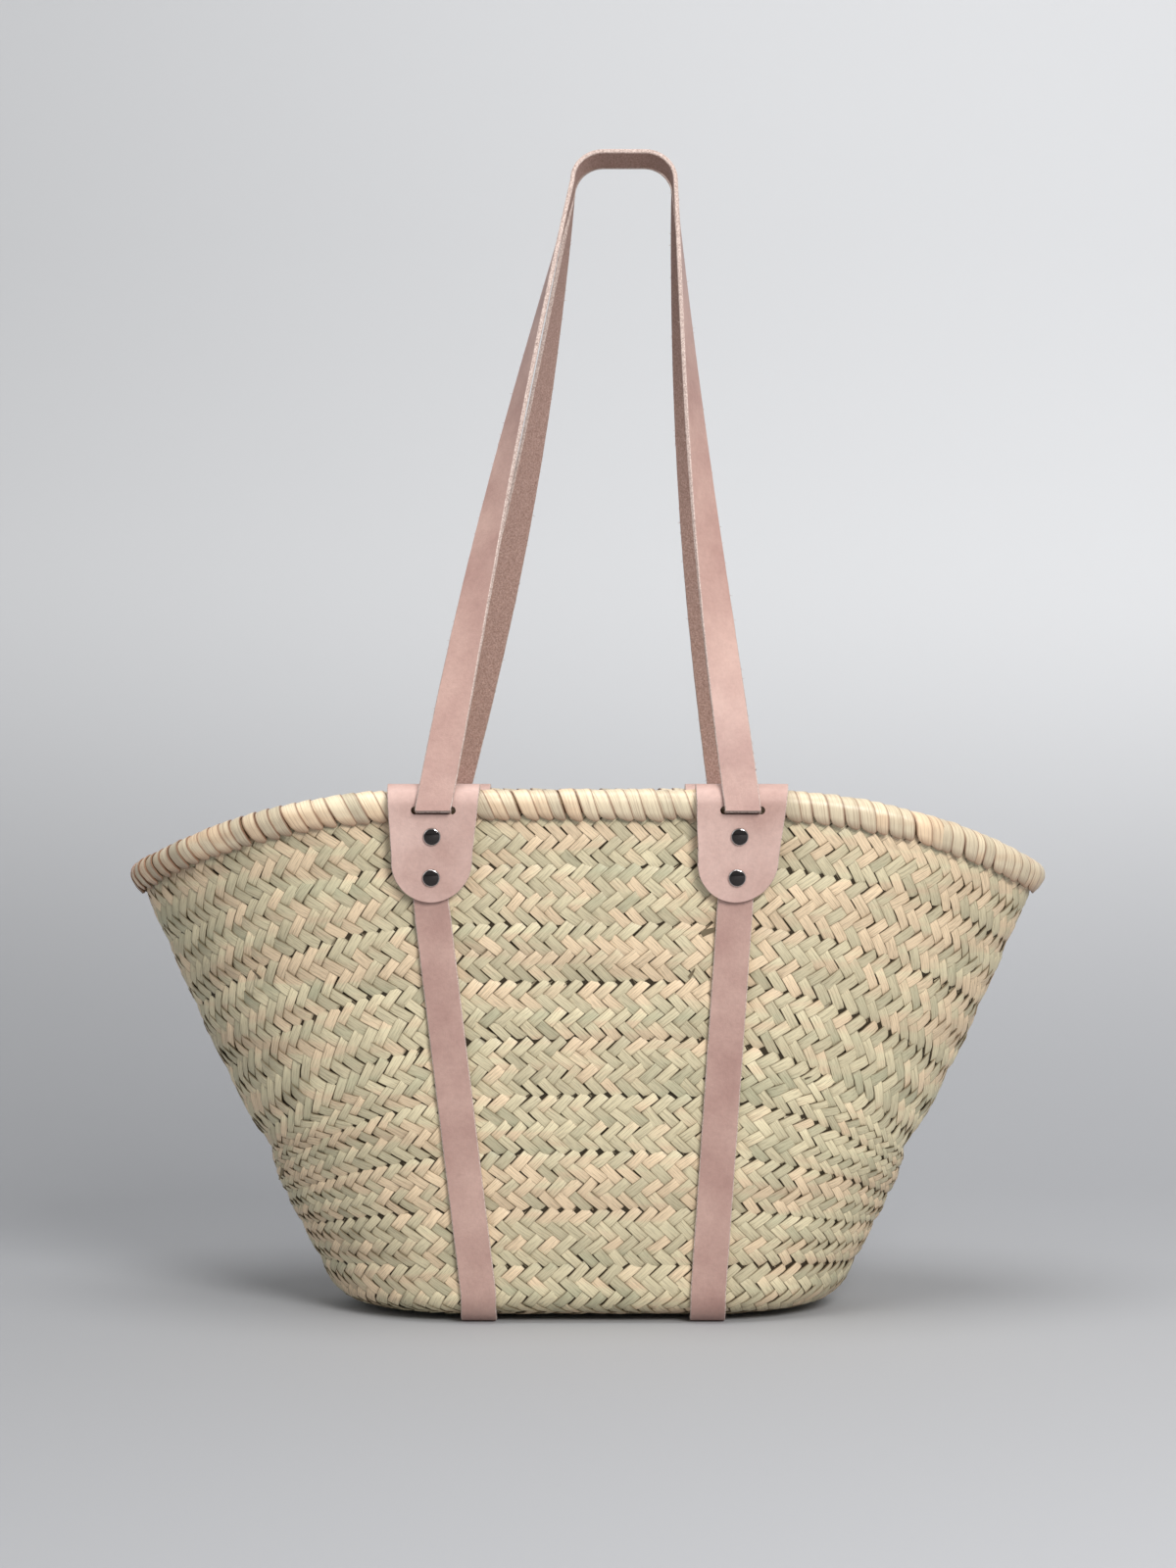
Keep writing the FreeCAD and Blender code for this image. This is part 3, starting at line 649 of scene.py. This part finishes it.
def rimTree():
    tree, given = newTree("rimWrap", [
        ("Strip", "Object"), ("Count", "Int"), ("Round Length", "Float"), ("Spare", "Float"), ("Seed", "Int"),
        ("Material", "Material")])
    math = mathFor(tree)
    spread = spreadFor(tree, given["Seed"])
    index = addNode(tree, "GeometryNodeInputIndex").outputs[0]
    step = math("DIVIDE", given["Round Length"], given["Count"])
    x = math("MULTIPLY", math("ADD", math("ADD", index, 0.5), spread(-0.10, 0.10, 1)), step)
    line = addNode(tree, "GeometryNodeMeshLine", {"Count": given["Count"]})
    points = addNode(tree, "GeometryNodeSetPosition", {
        "Geometry": line.outputs[0], "Position": combineOf(tree, x, 0.0, 0.0)})
    turn = combineOf(tree, spread(-0.05, 0.05, 2), 0.0, spread(-0.05, 0.05, 3))
    size = combineOf(tree, spread(0.84, 1.10, 4), 1.0, spread(0.95, 1.06, 5))
    placed = addNode(tree, "GeometryNodeInstanceOnPoints", {
        "Points": points.outputs[0], "Instance": shapeOf(tree, given["Strip"]), "Rotation": turn,
        "Scale": size})
    toned = addNode(tree, "GeometryNodeStoreNamedAttribute", {
        "Geometry": placed.outputs[0], "Name": "tone", "Value": spread(0.0, 1.0, 6)},
        data_type="FLOAT", domain="INSTANCE")
    real = addNode(tree, "GeometryNodeRealizeInstances", {"Geometry": toned.outputs[0]})
    place = partsOf(tree, placeOf(tree))
    u = math("DIVIDE", math("ADD", math("DIVIDE", place[0], given["Round Length"]), given["Spare"]),
             math("ADD", math("MULTIPLY", given["Spare"], 2.0), 1.0))
    spot = combineOf(tree, u, 0.9999, 0.0)
    wanted = (placeOf(tree), storedOf(tree, "wallOut"), storedOf(tree, "wallUp"))
    where, outward, rising = [wallValue(tree, given["Geometry"], spot, value) for value in wanted]
    outside = sumOf(tree, where, scaleOf(tree, outward, place[1]))
    wound = sumOf(tree, outside, scaleOf(tree, rising, place[2]))
    moved = addNode(tree, "GeometryNodeSetPosition", {"Geometry": real.outputs[0], "Position": wound})
    return endTree(tree, moved.outputs[0], given["Material"])


def makeRimWrap(wall, material):
    girth = bodyPoint(0.0, body["length"])[1]
    values = {"Strip": rimStrip(), "Count": round(girth / rim["pitch"]), "Round Length": girth,
              "Spare": surface["spare"], "Seed": 11, "Material": material}
    piece = newObject("rimWrap", growMesh("rimWrap", wall, rimTree(), values), [material])
    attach(piece, "basket")
    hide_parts("rim_wrap")


# Leather.
strap = dict(width=0.020, thickness=0.0026, edge=0.0005, wobble=0.00018, footShare=0.45, gap=0.00045,
             lip=0.0011, bend=0.0022, wallSteps=40, footSteps=8, handleFuzz=60000.0, bodyFuzz=20000.0,
             bareFloor=0.004)


# Blush leather, grain side: waxy and even, faint clouds of colour, fine pores.
def grainLeather(name, light, deep):
    material, tree, shader = newMaterial(name)
    place = addNode(tree, "ShaderNodeTexCoord").outputs["Object"]
    cloud = noiseOf(tree, place, 30.0, 5.0)
    colour = rampOf(tree, cloud, [(0.32, light), (0.68, deep)])
    pore = addNode(tree, "ShaderNodeTexVoronoi", {"Vector": place, "Scale": 1600.0}).outputs["Distance"]
    crease = noiseOf(tree, place, 420.0, 5.0, 0.7)
    speckled = scaleOf(tree, colour, rangeOf(tree, crease, 0.3, 0.7, 0.92, 1.06))
    tree.links.new(speckled, shader.inputs["Base Color"])
    first = addNode(tree, "ShaderNodeBump", {"Height": crease, "Strength": 0.45, "Distance": 0.0004})
    second = addNode(tree, "ShaderNodeBump", {"Height": pore, "Strength": 0.2, "Distance": 0.0001,
                                              "Normal": first.outputs[0]})
    tree.links.new(second.outputs[0], shader.inputs["Normal"])
    shader.inputs["Roughness"].default_value = 0.48
    shader.inputs["IOR"].default_value = 1.45
    return material


# Leather with its fibres open: one noise gives both the colour and the raised nap.
def openLeather(name, scale, detail, roughness, stops, strength, distance, dull):
    material, tree, shader = newMaterial(name)
    fibre = noiseOf(tree, addNode(tree, "ShaderNodeTexCoord").outputs["Object"], scale, detail, roughness)
    tree.links.new(rampOf(tree, fibre, stops), shader.inputs["Base Color"])
    bump = addNode(tree, "ShaderNodeBump", {"Height": fibre, "Strength": strength, "Distance": distance})
    tree.links.new(bump.outputs[0], shader.inputs["Normal"])
    shader.inputs["Roughness"].default_value = dull
    return material


# The flesh side of the same leather: matt, felted, with short raised fibres.
def fleshLeather():
    return openLeather("blushLeatherFlesh", 900.0, 4.0, 0.75, [(0.34, "#937469"), (0.68, "#C8A89D")],
                       0.9, 0.0006, 0.95)


# The raw cut edge: paler than the faces, fibrous.
def cutLeather():
    return openLeather("leatherCutEdge", 1100.0, 3.0, 0.5, [(0.35, "#A68F86"), (0.65, "#D6C4BB")],
                       0.7, 0.0004, 0.9)


# A strap through stations: middle, direction of travel, direction of the grain side.
def strapMesh(name, stations, width, thickness, edge, across=4):
    a, b = width / 2, thickness / 2
    lines = [-1 + 2 * k / across for k in range(across + 1)]
    rings = []
    for middle, run, grain, narrow in stations:
        side = run.cross(grain).normalized()
        wobble = strap["wobble"] * noise.noise(middle * 240)
        half = max(a * narrow + wobble, 0.0004)
        flat = half - min(edge, half / 2)
        ring = [(flat * line, b) for line in lines] + [(half, b - edge), (half, edge - b)]
        ring += [(-flat * line, -b) for line in lines] + [(-half, edge - b), (-half, b - edge)]
        rings.append([middle + side * w + grain * t for w, t in ring])
    tags = [0] * across + [2] * 3 + [1] * across + [2] * 3
    mesh = loftMesh(name, rings, tags)
    for polygon in mesh.polygons[-2:]:
        polygon.material_index = 2
        polygon.use_smooth = False
    mesh.set_sharp_from_angle(angle=radians(38))
    return mesh


# Direction of travel at each point of a path.
def runsOf(points):
    last = len(points) - 1
    return [(points[min(k + 1, last)] - points[max(k - 1, 0)]).normalized() for k in range(last + 1)]


# The path with each sharp corner eased over this distance.
def easedPath(points, distance, steps=6):
    eased = [points[0]]
    for before, corner, after in zip(points, points[1:], points[2:]):
        if (corner - before).angle(after - corner) < 0.2:
            eased.append(corner)
            continue
        start = corner + (before - corner).normalized() * min(distance, (before - corner).length * 0.45)
        end = corner + (after - corner).normalized() * min(distance, (after - corner).length * 0.45)
        for k in range(steps + 1):
            t = k / steps
            eased.append(start * (1 - t) ** 2 + corner * 2 * t * (1 - t) + end * t ** 2)
    return eased + [points[-1]]


# Short fibres standing off the raw edges.
def fuzzTree():
    tree, given = newTree("edgeFuzz", [("Fibre", "Object"), ("Density", "Float"), ("Edge Slot", "Int"),
                                       ("Bare Below", "Float"), ("Seed", "Int"), ("Material", "Material")])
    slot = addNode(tree, "GeometryNodeInputMaterialIndex").outputs[0]
    isEdge = addNode(tree, "FunctionNodeCompare", {2: slot, 3: given["Edge Slot"]}, data_type="INT",
                     operation="EQUAL").outputs[0]
    above = compareOf(tree, partsOf(tree, placeOf(tree))[2], given["Bare Below"], "GREATER_THAN")
    chosen = addNode(tree, "FunctionNodeBooleanMath", {0: isEdge, 1: above}, operation="AND").outputs[0]
    points = addNode(tree, "GeometryNodeDistributePointsOnFaces", {
        "Mesh": given["Geometry"], "Selection": chosen, "Density": given["Density"], "Seed": given["Seed"]})
    tilted = turnedOf(tree, points, (-1.1, -1.1, -3.1), (1.1, 1.1, 3.1), given["Seed"])
    placed = addNode(tree, "GeometryNodeInstanceOnPoints", {
        "Points": points.outputs[0], "Instance": shapeOf(tree, given["Fibre"]), "Rotation": tilted,
        "Scale": randomSize(tree, 0.4, 1.25, given["Seed"])})
    return endTree(tree, placed.outputs[0], given["Material"])


def fuzzFibre():
    rings = []
    for k, (reach, size) in enumerate(((-0.0002, 0.00014), (0.0007, 0.00012), (0.0015, 0.00005))):
        bent = 0.0002 * k * k
        angles = (0, 2 * pi / 3, 4 * pi / 3)
        rings.append([Vector((bent + size * cos(a), size * sin(a), reach)) for a in angles])
    return bpy.data.objects.new("fuzzFibre", loftMesh("fuzzFibre", rings))


def finishStrap(node, mesh, rides, seed, density, bareBelow):
    name = pieceName(node)
    values = {"Fibre": fuzzStrand, "Density": density, "Edge Slot": 2, "Bare Below": bareBelow, "Seed": seed,
              "Material": leathers[2]}
    fuzz = growMesh(name + "Fuzz", mesh, fuzzNodes, values)
    fuzz.polygons.foreach_set("material_index", [2] * len(fuzz.polygons))
    piece = newObject(name, mesh, strapLeathers)
    loose = newObject(name + "Fuzz", fuzz, [leathers[2]])
    for made in (piece, loose):
        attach(made, rides)
    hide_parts(node)


handleLow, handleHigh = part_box("front_handle")
handle = dict(topWidth=0.060, topMiddle=0.021, corner=0.018, flat=0.05, bareEnd=0.014, legSteps=60,
              cornerSteps=10, topSteps=6, bows={-1: (0.0035, 0.0035), 1: (-0.006, 0.0045)},
              twists={-1: 1.15, 1: 0.85})
handle["hingeY"] = -handleLow.y - strap["thickness"] / 2
handle["hingeZ"] = handleLow.z + strap["thickness"] / 2
handle["footX"] = handleHigh.x - strap["width"] / 2
handle["topY"] = -handleHigh.y + strap["width"] / 2
handle["top"] = 0.674


# Middle of a handle in its own plane: across, along, and the share of the leg that has been climbed.
def handleRows(facing):
    left = handle["topMiddle"] - handle["topWidth"] / 2
    right = handle["topMiddle"] + handle["topWidth"] / 2
    rise = handle["top"] - strap["thickness"] / 2 - handle["hingeZ"]
    height = hypot(rise, handle["hingeY"] - handle["topY"])
    legTop = height - handle["corner"]

    def leg(foot, head, bow):
        shares = [k / handle["legSteps"] for k in range(handle["legSteps"] + 1)]
        return [(foot + (head - foot) * t - bow * sin(pi * t), legTop * t, t) for t in shares]

    def corner(middle, start):
        angles = [start - pi / 2 * k / handle["cornerSteps"] for k in range(1, handle["cornerSteps"])]
        return [(middle + handle["corner"] * cos(a), legTop + handle["corner"] * sin(a), 1.0) for a in angles]

    rows = leg(-handle["footX"], left, handle["bows"][facing][0]) + corner(left + handle["corner"], pi)
    start, span, steps = left + handle["corner"], right - left - 2 * handle["corner"], handle["topSteps"]
    rows += [(start + span * k / steps, height, 1.0) for k in range(steps + 1)]
    rows += corner(right - handle["corner"], pi / 2)
    return rows + leg(handle["footX"], right, handle["bows"][facing][1])[::-1]


def makeHandle(facing, node, rides):
    lean = atan2(handle["hingeY"] - handle["topY"], handle["top"] - strap["thickness"] / 2 - handle["hingeZ"])
    up = Vector((0, -facing * sin(lean), cos(lean)))
    out = Vector((0, facing * cos(lean), sin(lean)))
    hinge = Vector((0, facing * handle["hingeY"], handle["hingeZ"]))
    rows = handleRows(facing)
    middles = [hinge + Vector((x, 0, 0)) + up * along for x, along, share in rows]
    runs = runsOf(middles)
    runs[0], runs[-1] = up, -up
    stations = []
    for middle, run, (x, along, share) in zip(middles, runs, rows):
        twisted = max(0.0, (share - handle["flat"]) / (1 - handle["flat"]))
        turn = pi / 2 * (1 - (1 - twisted) ** handle["twists"][facing])
        loopOut = out.cross(run).normalized() * -facing
        stations.append((middle, run, (out * cos(turn) + loopOut * sin(turn)).normalized(), 1))
    # each foot ends half round, over the fold line
    feet = []
    for middle, run, grain, narrow in (stations[0], stations[-1]):
        feet.append((middle - up * strap["thickness"] * strap["footShare"], run, grain, narrow))
    stations = [feet[0]] + stations + [feet[1]]
    mesh = strapMesh(node, stations, strap["width"], strap["thickness"], strap["edge"])
    finishStrap(node, mesh, rides, 31 + facing, strap["handleFuzz"], handle["hingeZ"] + handle["bareEnd"])


tab = dict(width=0.052, tipWidth=0.045, taper=0.042, length=0.066, thickness=0.0028, gap=0.0003,
           lean=radians(9), forward=0.0029, slotDrop=0.0148, slotWidth=0.025, slotHeight=0.0045,
           rivetDrops=(0.0294, 0.0524), edge=0.0004, outerSteps=40, foldSteps=12, innerSteps=24,
           punch=(0.135, 0.1035), punchSteps=16)
tab["top"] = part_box("saddle_tab_front_left")[1].z
tab["inner"] = 0.0075 + tab["gap"]
tab["slotZ"] = tab["top"] - tab["slotDrop"]


# The outer leaf's face this far from the fold's radius, at a height.
def leafY(radius, z):
    y0 = -body["rimHalfDepth"] - tab["forward"] - radius * cos(tab["lean"])
    z0 = body["rimHeight"] - radius * sin(tab["lean"])
    return y0 + (z0 - z) * tan(tab["lean"])


def tabHalfWidth(drop):
    if drop < tab["taper"]:
        return (tab["width"] + (tab["tipWidth"] - tab["width"]) * max(0, drop) / tab["taper"]) / 2
    half, depth = tab["tipWidth"] / 2, tab["length"] - tab["taper"]
    radius = (half ** 2 + depth ** 2) / (2 * depth)
    return sqrt(max(0.0, radius ** 2 - (drop - tab["length"] + radius) ** 2))


def makeTab(side, facing, drift, node):
    middle = tab["inner"] + tab["thickness"] / 2
    lean = tab["lean"]
    low = tab["top"] - tab["length"]
    leafTop = body["rimHeight"] - middle * sin(lean)
    outer, fold, inner = tab["outerSteps"], tab["foldSteps"], tab["innerSteps"]
    line = []
    for k in range(outer + 1):
        z = low + (leafTop - low) * (1 - cos(pi / 2 * k / outer)) ** 0.9
        line.append((leafY(middle, z), z))
    front = -body["rimHalfDepth"] - tab["forward"]
    for k in range(1, fold + 1):
        angle = pi + lean - (pi / 2 + lean) * k / fold
        line.append((front + middle * cos(angle), body["rimHeight"] + middle * sin(angle)))
    for k in range(fold + 1):
        angle = pi / 2 - pi / 2 * k / fold
        line.append((-body["rimHalfDepth"] + middle * cos(angle), body["rimHeight"] + middle * sin(angle)))
    for k in range(1, inner + 1):
        z = low + (body["rimHeight"] - low) * (1 - sin(pi / 2 * k / inner))
        line.append((-body["rimHalfDepth"] + middle, z))
    points = [Vector((0, y, z)) for y, z in line]
    runs = runsOf(points)
    stations = []
    for point, run in zip(points, runs):
        drop = tab["top"] - point.z
        grain = Vector((0, -run.z, run.y)).normalized()
        x = side * handle["footX"] + drift * max(0, drop) / tab["length"]
        narrow = tabHalfWidth(drop) / (tab["width"] / 2)
        spot = Vector((x, point.y, point.z))
        stations.append((spot, run, grain, narrow))
    if facing > 0:
        stations = [(Vector((m.x, -m.y, m.z)), Vector((r.x, -r.y, r.z)), Vector((n.x, -n.y, n.z)), w)
                    for m, r, n, w in stations]
    mesh = strapMesh(node, stations, tab["width"], tab["thickness"], tab["edge"], across=16)
    for material in leathers:
        mesh.materials.append(material)
    holder = bpy.data.objects.new(node, mesh)
    scene.collection.objects.link(holder)
    punch = slotPunch(side, facing)
    cut = holder.modifiers.new("slot", "BOOLEAN")
    cut.object = punch
    cut.operation = "DIFFERENCE"
    cut.solver = "EXACT"
    depsgraph = bpy.context.evaluated_depsgraph_get()
    made = bpy.data.meshes.new_from_object(holder.evaluated_get(depsgraph))
    bpy.data.objects.remove(holder)
    bpy.data.objects.remove(punch)
    made.set_sharp_from_angle(angle=radians(38))
    piece = newObject(pieceName(node), made, [])
    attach(piece, "basket")
    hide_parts(node)


def slotPunch(side, facing):
    radius = tab["slotHeight"] / 2
    half = tab["slotWidth"] / 2 - radius
    shape = []
    for k in range(tab["punchSteps"] + 1):
        angle = -pi / 2 + pi * k / tab["punchSteps"]
        shape.append((half + radius * cos(angle), radius * sin(angle)))
    shape += [(-x, -z) for x, z in shape]
    rings = []
    footX, slotZ = side * handle["footX"], tab["slotZ"]
    for reach in tab["punch"]:
        rings.append([Vector((footX + x, facing * reach, slotZ + z)) for x, z in shape])
    if facing < 0:
        rings.reverse()
    mesh = loftMesh("slotPunch", rings)
    for material in leathers:
        mesh.materials.append(material)
    mesh.polygons.foreach_set("material_index", [2] * len(mesh.polygons))
    punch = bpy.data.objects.new("slotPunch", mesh)
    scene.collection.objects.link(punch)
    return punch


# Body straps: out of the front slot, down the front, under the base and up the back.
def makeBodyStrap(node, footX, side, drift):
    topX = side * handle["footX"]
    off = strap["gap"] + strap["thickness"] / 2
    outer = body["wallThickness"] / 2
    behindY = leafY(tab["inner"], tab["slotZ"]) + off / cos(tab["lean"])
    low = tab["top"] - tab["length"]
    first = body["bottom"] + body["footHeight"]
    half = [Vector((topX, y, tab["slotZ"])) for y in (-handle["hingeY"] + strap["lip"], behindY)]
    steps = strap["wallSteps"]
    for k in range(steps + 1):
        z = low + (first - low) * k / steps
        x = footX + (topX + drift - footX) * (z - first) / (low - first)
        half.append(Vector((x, -levelSizes(z)[1] - outer - off, z)))
    for k in range(strap["footSteps"] - 1, -1, -1):
        angle = pi / 2 * k / strap["footSteps"]
        z = first - body["footHeight"] * cos(angle)
        y = -levelSizes(z)[1] - outer + body["footInset"] * (1 - sin(angle))
        half.append(Vector((footX, y - off * sin(angle), z - off * cos(angle))))
        half[-1].z = max(half[-1].z, strap["thickness"] / 2)
    half[-1].z = strap["thickness"] / 2
    half = easedPath(half, strap["bend"])
    points = half + [Vector((p.x, -p.y, p.z)) for p in reversed(half)]
    stations = []
    for point, run in zip(points, runsOf(points)):
        grain = Vector((0, run.z, -run.y)).normalized()
        stations.append((point, run, grain, 1))
    mesh = strapMesh(node, stations, strap["width"], strap["thickness"], strap["edge"])
    finishStrap(node, mesh, "basket", 41 + side, strap["bodyFuzz"], strap["bareFloor"])


# Rivets.
# Polished metal, one nickel in two copies: the crown's dark copy is a painted dark reflection, the rolled
# rim's light copy a painted highlight.
def polishedMetal(name, colour, roughness):
    material, tree, shader = newMaterial(name)
    shader.inputs["Metallic"].default_value = 1.0
    shader.inputs["Base Color"].default_value = toLinear(colour)
    shader.inputs["Roughness"].default_value = roughness
    return material


rivet = dict(radius=0.005, height=0.0022, edge=0.0006, corner=0.0009, around=40,
             bend=(0.3, 0.6, 0.9, 1.2), crown=(0.1, 0.25, 0.4, 0.55, 0.7, 0.85, 0.97))


def rivetDome(name, height):
    radius, corner, edge = rivet["radius"], rivet["corner"], rivet["edge"]
    line = [(radius, 0.0), (radius, edge)]
    line += [(radius - corner + corner * cos(a), edge + corner * sin(a)) for a in rivet["bend"]]
    reach, start = line[-1]
    crown = height - start
    line += [(reach * (1 - share), start + crown * (1 - (1 - share) ** 2)) for share in rivet["crown"]]
    angles = [2 * pi * j / rivet["around"] for j in range(rivet["around"])]
    rings = [[Vector((r * cos(a), r * sin(a), z)) for a in angles] for r, z in line]
    return bpy.data.objects.new(name, loftMesh(name, rings))


def rivetTree():
    tree, given = newTree("rivets", [("Cap", "Object"), ("Material", "Material")])
    turn = addNode(tree, "FunctionNodeAlignRotationToVector", {"Vector": storedOf(tree, "facing")}, axis="Z")
    placed = addNode(tree, "GeometryNodeInstanceOnPoints", {
        "Points": given["Geometry"], "Instance": shapeOf(tree, given["Cap"]), "Rotation": turn.outputs[0]})
    return endTree(tree, placed.outputs[0], given["Material"])


def makeRivets(side, facing, drift, ending, tree, caps, metals):
    spots = {"rivet_caps": [], "rivet_posts": []}
    for drop in tab["rivetDrops"]:
        x = side * handle["footX"] + drift * drop / tab["length"]
        z = tab["top"] - drop
        outward = Vector((0, facing * cos(tab["lean"]), -sin(tab["lean"])))
        outside = leafY(tab["inner"] + tab["thickness"], z)
        spots["rivet_caps"].append((Vector((x, -facing * outside, z)), outward))
        inside = -body["rimHalfDepth"] + tab["inner"] + tab["thickness"]
        spots["rivet_posts"].append((Vector((x, -facing * inside, z)), Vector((0, -facing, 0))))
    for kind, places in spots.items():
        base = bpy.data.meshes.new(kind)
        base.from_pydata([place for place, outward in places], [], [])
        facings = base.attributes.new("facing", "FLOAT_VECTOR", "POINT")
        for k, (place, outward) in enumerate(places):
            facings.data[k].vector = outward
        mesh = growMesh(kind, base, tree, {"Cap": caps[kind], "Material": metals[0]})
        half = len(mesh.polygons) // 2
        for polygon in mesh.polygons:
            # the rim's faces take the light copy (painted highlight), the crown the dark copy (painted dark
            # reflection)
            isRim = 0 < polygon.index % half < half - 2 - len(rivet["crown"]) * rivet["around"]
            polygon.material_index = 1 if isRim else 0
        piece = newObject(pieceName(kind + ending), mesh, metals)
        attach(piece, "basket")
        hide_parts(kind + ending)


# Stage, light and camera.
stage = dict(floorDepth=0.55, bend=0.85, top=3.2, reach=9.0, bendSteps=12, shadeHeight=0.55, shadeReach=1.1)


# Smooth matt paint with painted shade: darker towards the floor and the left. It is clear when seen from
# behind.
def backdropPaint():
    material, tree, shader = newMaterial("mattPaintedBackdrop")
    place = partsOf(tree, addNode(tree, "ShaderNodeTexCoord").outputs["Object"])
    rise = rangeOf(tree, place[2], 0.0, stage["shadeHeight"], 0.0, 1.0, interpolation_type="SMOOTHSTEP")
    across = rangeOf(tree, place[0], -stage["shadeReach"], stage["shadeReach"], 0.80, 1.12,
                     interpolation_type="SMOOTHSTEP")
    # painted shade: the paint darkens towards the floor and to the left
    paint = mixOf(tree, rise, toLinear("#A9AAAD"), toLinear("#DDDEE0"))
    tree.links.new(scaleOf(tree, paint, across), shader.inputs["Base Color"])
    shader.inputs["Roughness"].default_value = 0.9
    behind = addNode(tree, "ShaderNodeNewGeometry").outputs["Backfacing"]
    tree.links.new(mathFor(tree)("SUBTRACT", 1.0, behind), shader.inputs["Alpha"])
    return material


def makeStage():
    floorDepth, bend, reach, steps = stage["floorDepth"], stage["bend"], stage["reach"], stage["bendSteps"]
    profile = [(-reach, 0.0), (floorDepth, 0.0)]
    for k in range(1, steps + 1):
        angle = pi / 2 * k / steps
        profile.append((floorDepth + bend * sin(angle), bend - bend * cos(angle)))
    profile.append((floorDepth + bend, stage["top"]))
    quads = [(2 * k, 2 * k + 1, 2 * k + 3, 2 * k + 2) for k in range(len(profile) - 1)]
    behind = 2 * len(profile)
    profile += [(floorDepth, 0.0), (reach, 0.0)]      # the floor goes on behind
    quads.append((behind, behind + 1, behind + 3, behind + 2))
    mesh = bpy.data.meshes.new("backdrop")
    mesh.from_pydata([(x, y, z) for y, z in profile for x in (-reach, reach)], [], quads)
    mesh.polygons.foreach_set("use_smooth", [True] * len(mesh.polygons))
    newObject("backdrop", mesh, [backdropPaint()])


def addLamp(name, place, target, size, power, colour):
    lamp = bpy.data.lights.new(name, "AREA")
    lamp.shape = "DISK"
    lamp.size = size
    lamp.energy = power
    lamp.color = colour
    holder = bpy.data.objects.new(name, lamp)
    holder.location = place
    holder.rotation_euler = (Vector(target) - Vector(place)).to_track_quat("-Z", "Y").to_euler()
    scene.collection.objects.link(holder)


def makeLight():
    addLamp("key", (0.8, -2.05, 1.35), (0, 0, 0.3), 1.0, 44, (1.0, 0.99, 0.975))
    addLamp("fill", (-1.9, -1.3, 1.2), (0, 0, 0.4), 1.6, 4, (0.96, 0.98, 1.0))
    addLamp("above", (-0.1, -0.5, 2.3), (0, 0, 0.3), 1.4, 24, (1.0, 1.0, 1.0))
    world = bpy.data.worlds.new("studio")
    world.use_nodes = True
    world.node_tree.nodes["Background"].inputs[0].default_value = toLinear("#EAEBEC")
    world.node_tree.nodes["Background"].inputs[1].default_value = 0.5
    scene.world = world
    scene.view_settings.view_transform = "Standard"


view = dict(distance=2.0, height=0.306, lens=77.9)


def makeCamera():
    camera = bpy.data.cameras.new("camera")
    camera.lens = view["lens"]
    camera.sensor_width = 36
    holder = bpy.data.objects.new("camera", camera)
    holder.location = (0, -view["distance"], view["height"])
    holder.rotation_euler = (pi / 2, 0, 0)
    scene.collection.objects.link(holder)
    scene.camera = holder


makeCamera()
makeStage()
makeLight()

leafMaterial = palmLeaf("palmLeafPlaited", "#DBCFAD", "#DCC5A5", "#D3CEAC", "#57442A", 0.33)
# the hidden strands are darkened leaf: painted shade in the gaps between floats
hiddenShadeMaterial = palmLeaf("palmLeafHidden", "#6C5A3A", "#5C4A34", "#544E32", "#2A2012", 0.7)
wall = bodySurface()
makePlait(wall, leafMaterial)
makeHidden(hiddenShadeMaterial)
makeStubs(wall, leafMaterial)
print("woven body done")
# the wraps' painted side shade starts nearer the middle, for dark lines between the turns
wrapMaterial = palmLeaf("palmLeafGlossy", "#E6D6B8", "#DFC6A6", "#E6DABC", "#7A4E38", 0.22, 0.74)
makeRimCore(palmLeaf("palmLeafCore", "#C9AE84", "#BFA076", "#C4B084", "#6B5234", 0.7))
makeRimWrap(wall, wrapMaterial)
print("rim done")
leathers = [grainLeather("blushLeatherTab", "#D5B6AC", "#BA988E"), fleshLeather(), cutLeather()]
# the straps and handles take a darker copy of the tab leather: painted shade
strapLeathers = [grainLeather("blushLeatherStrap", "#C1A095", "#AA877E"), leathers[1], leathers[2]]
fuzzNodes, fuzzStrand = fuzzTree(), fuzzFibre()
makeHandle(-1, "front_handle", "front_loop")
makeHandle(1, "back_handle", "back_loop")
print("handles done")
# one nickel: a dark copy as painted reflection on the crowns, a light copy as painted highlight on the rims
metals = [polishedMetal("polishedDarkNickel", "#4A4645", 0.10),
          polishedMetal("polishedNickel", "#C4C0BE", 0.18)]
rivetTools = rivetTree()
rivetCaps = {"rivet_caps": rivetDome("rivetCap", rivet["height"]),
             "rivet_posts": rivetDome("rivetHead", rivet["height"] * 0.7)}
# drift is how far a tab's end and its strap lean sideways, and foot is where the strap meets the base
sides = {"left": dict(side=-1, drift=-0.0018, foot=-0.062), "right": dict(side=1, drift=-0.0036, foot=0.068)}
for face, facing in (("front", -1), ("back", 1)):
    for word, place in sides.items():
        ending = "_" + face + "_" + word
        makeTab(place["side"], facing, place["drift"], "saddle_tab" + ending)
        makeRivets(place["side"], facing, place["drift"], ending, rivetTools, rivetCaps, metals)
for word, place in sides.items():
    makeBodyStrap("body_strap_" + word, place["foot"], place["side"], place["drift"])
print("leather and rivets done")
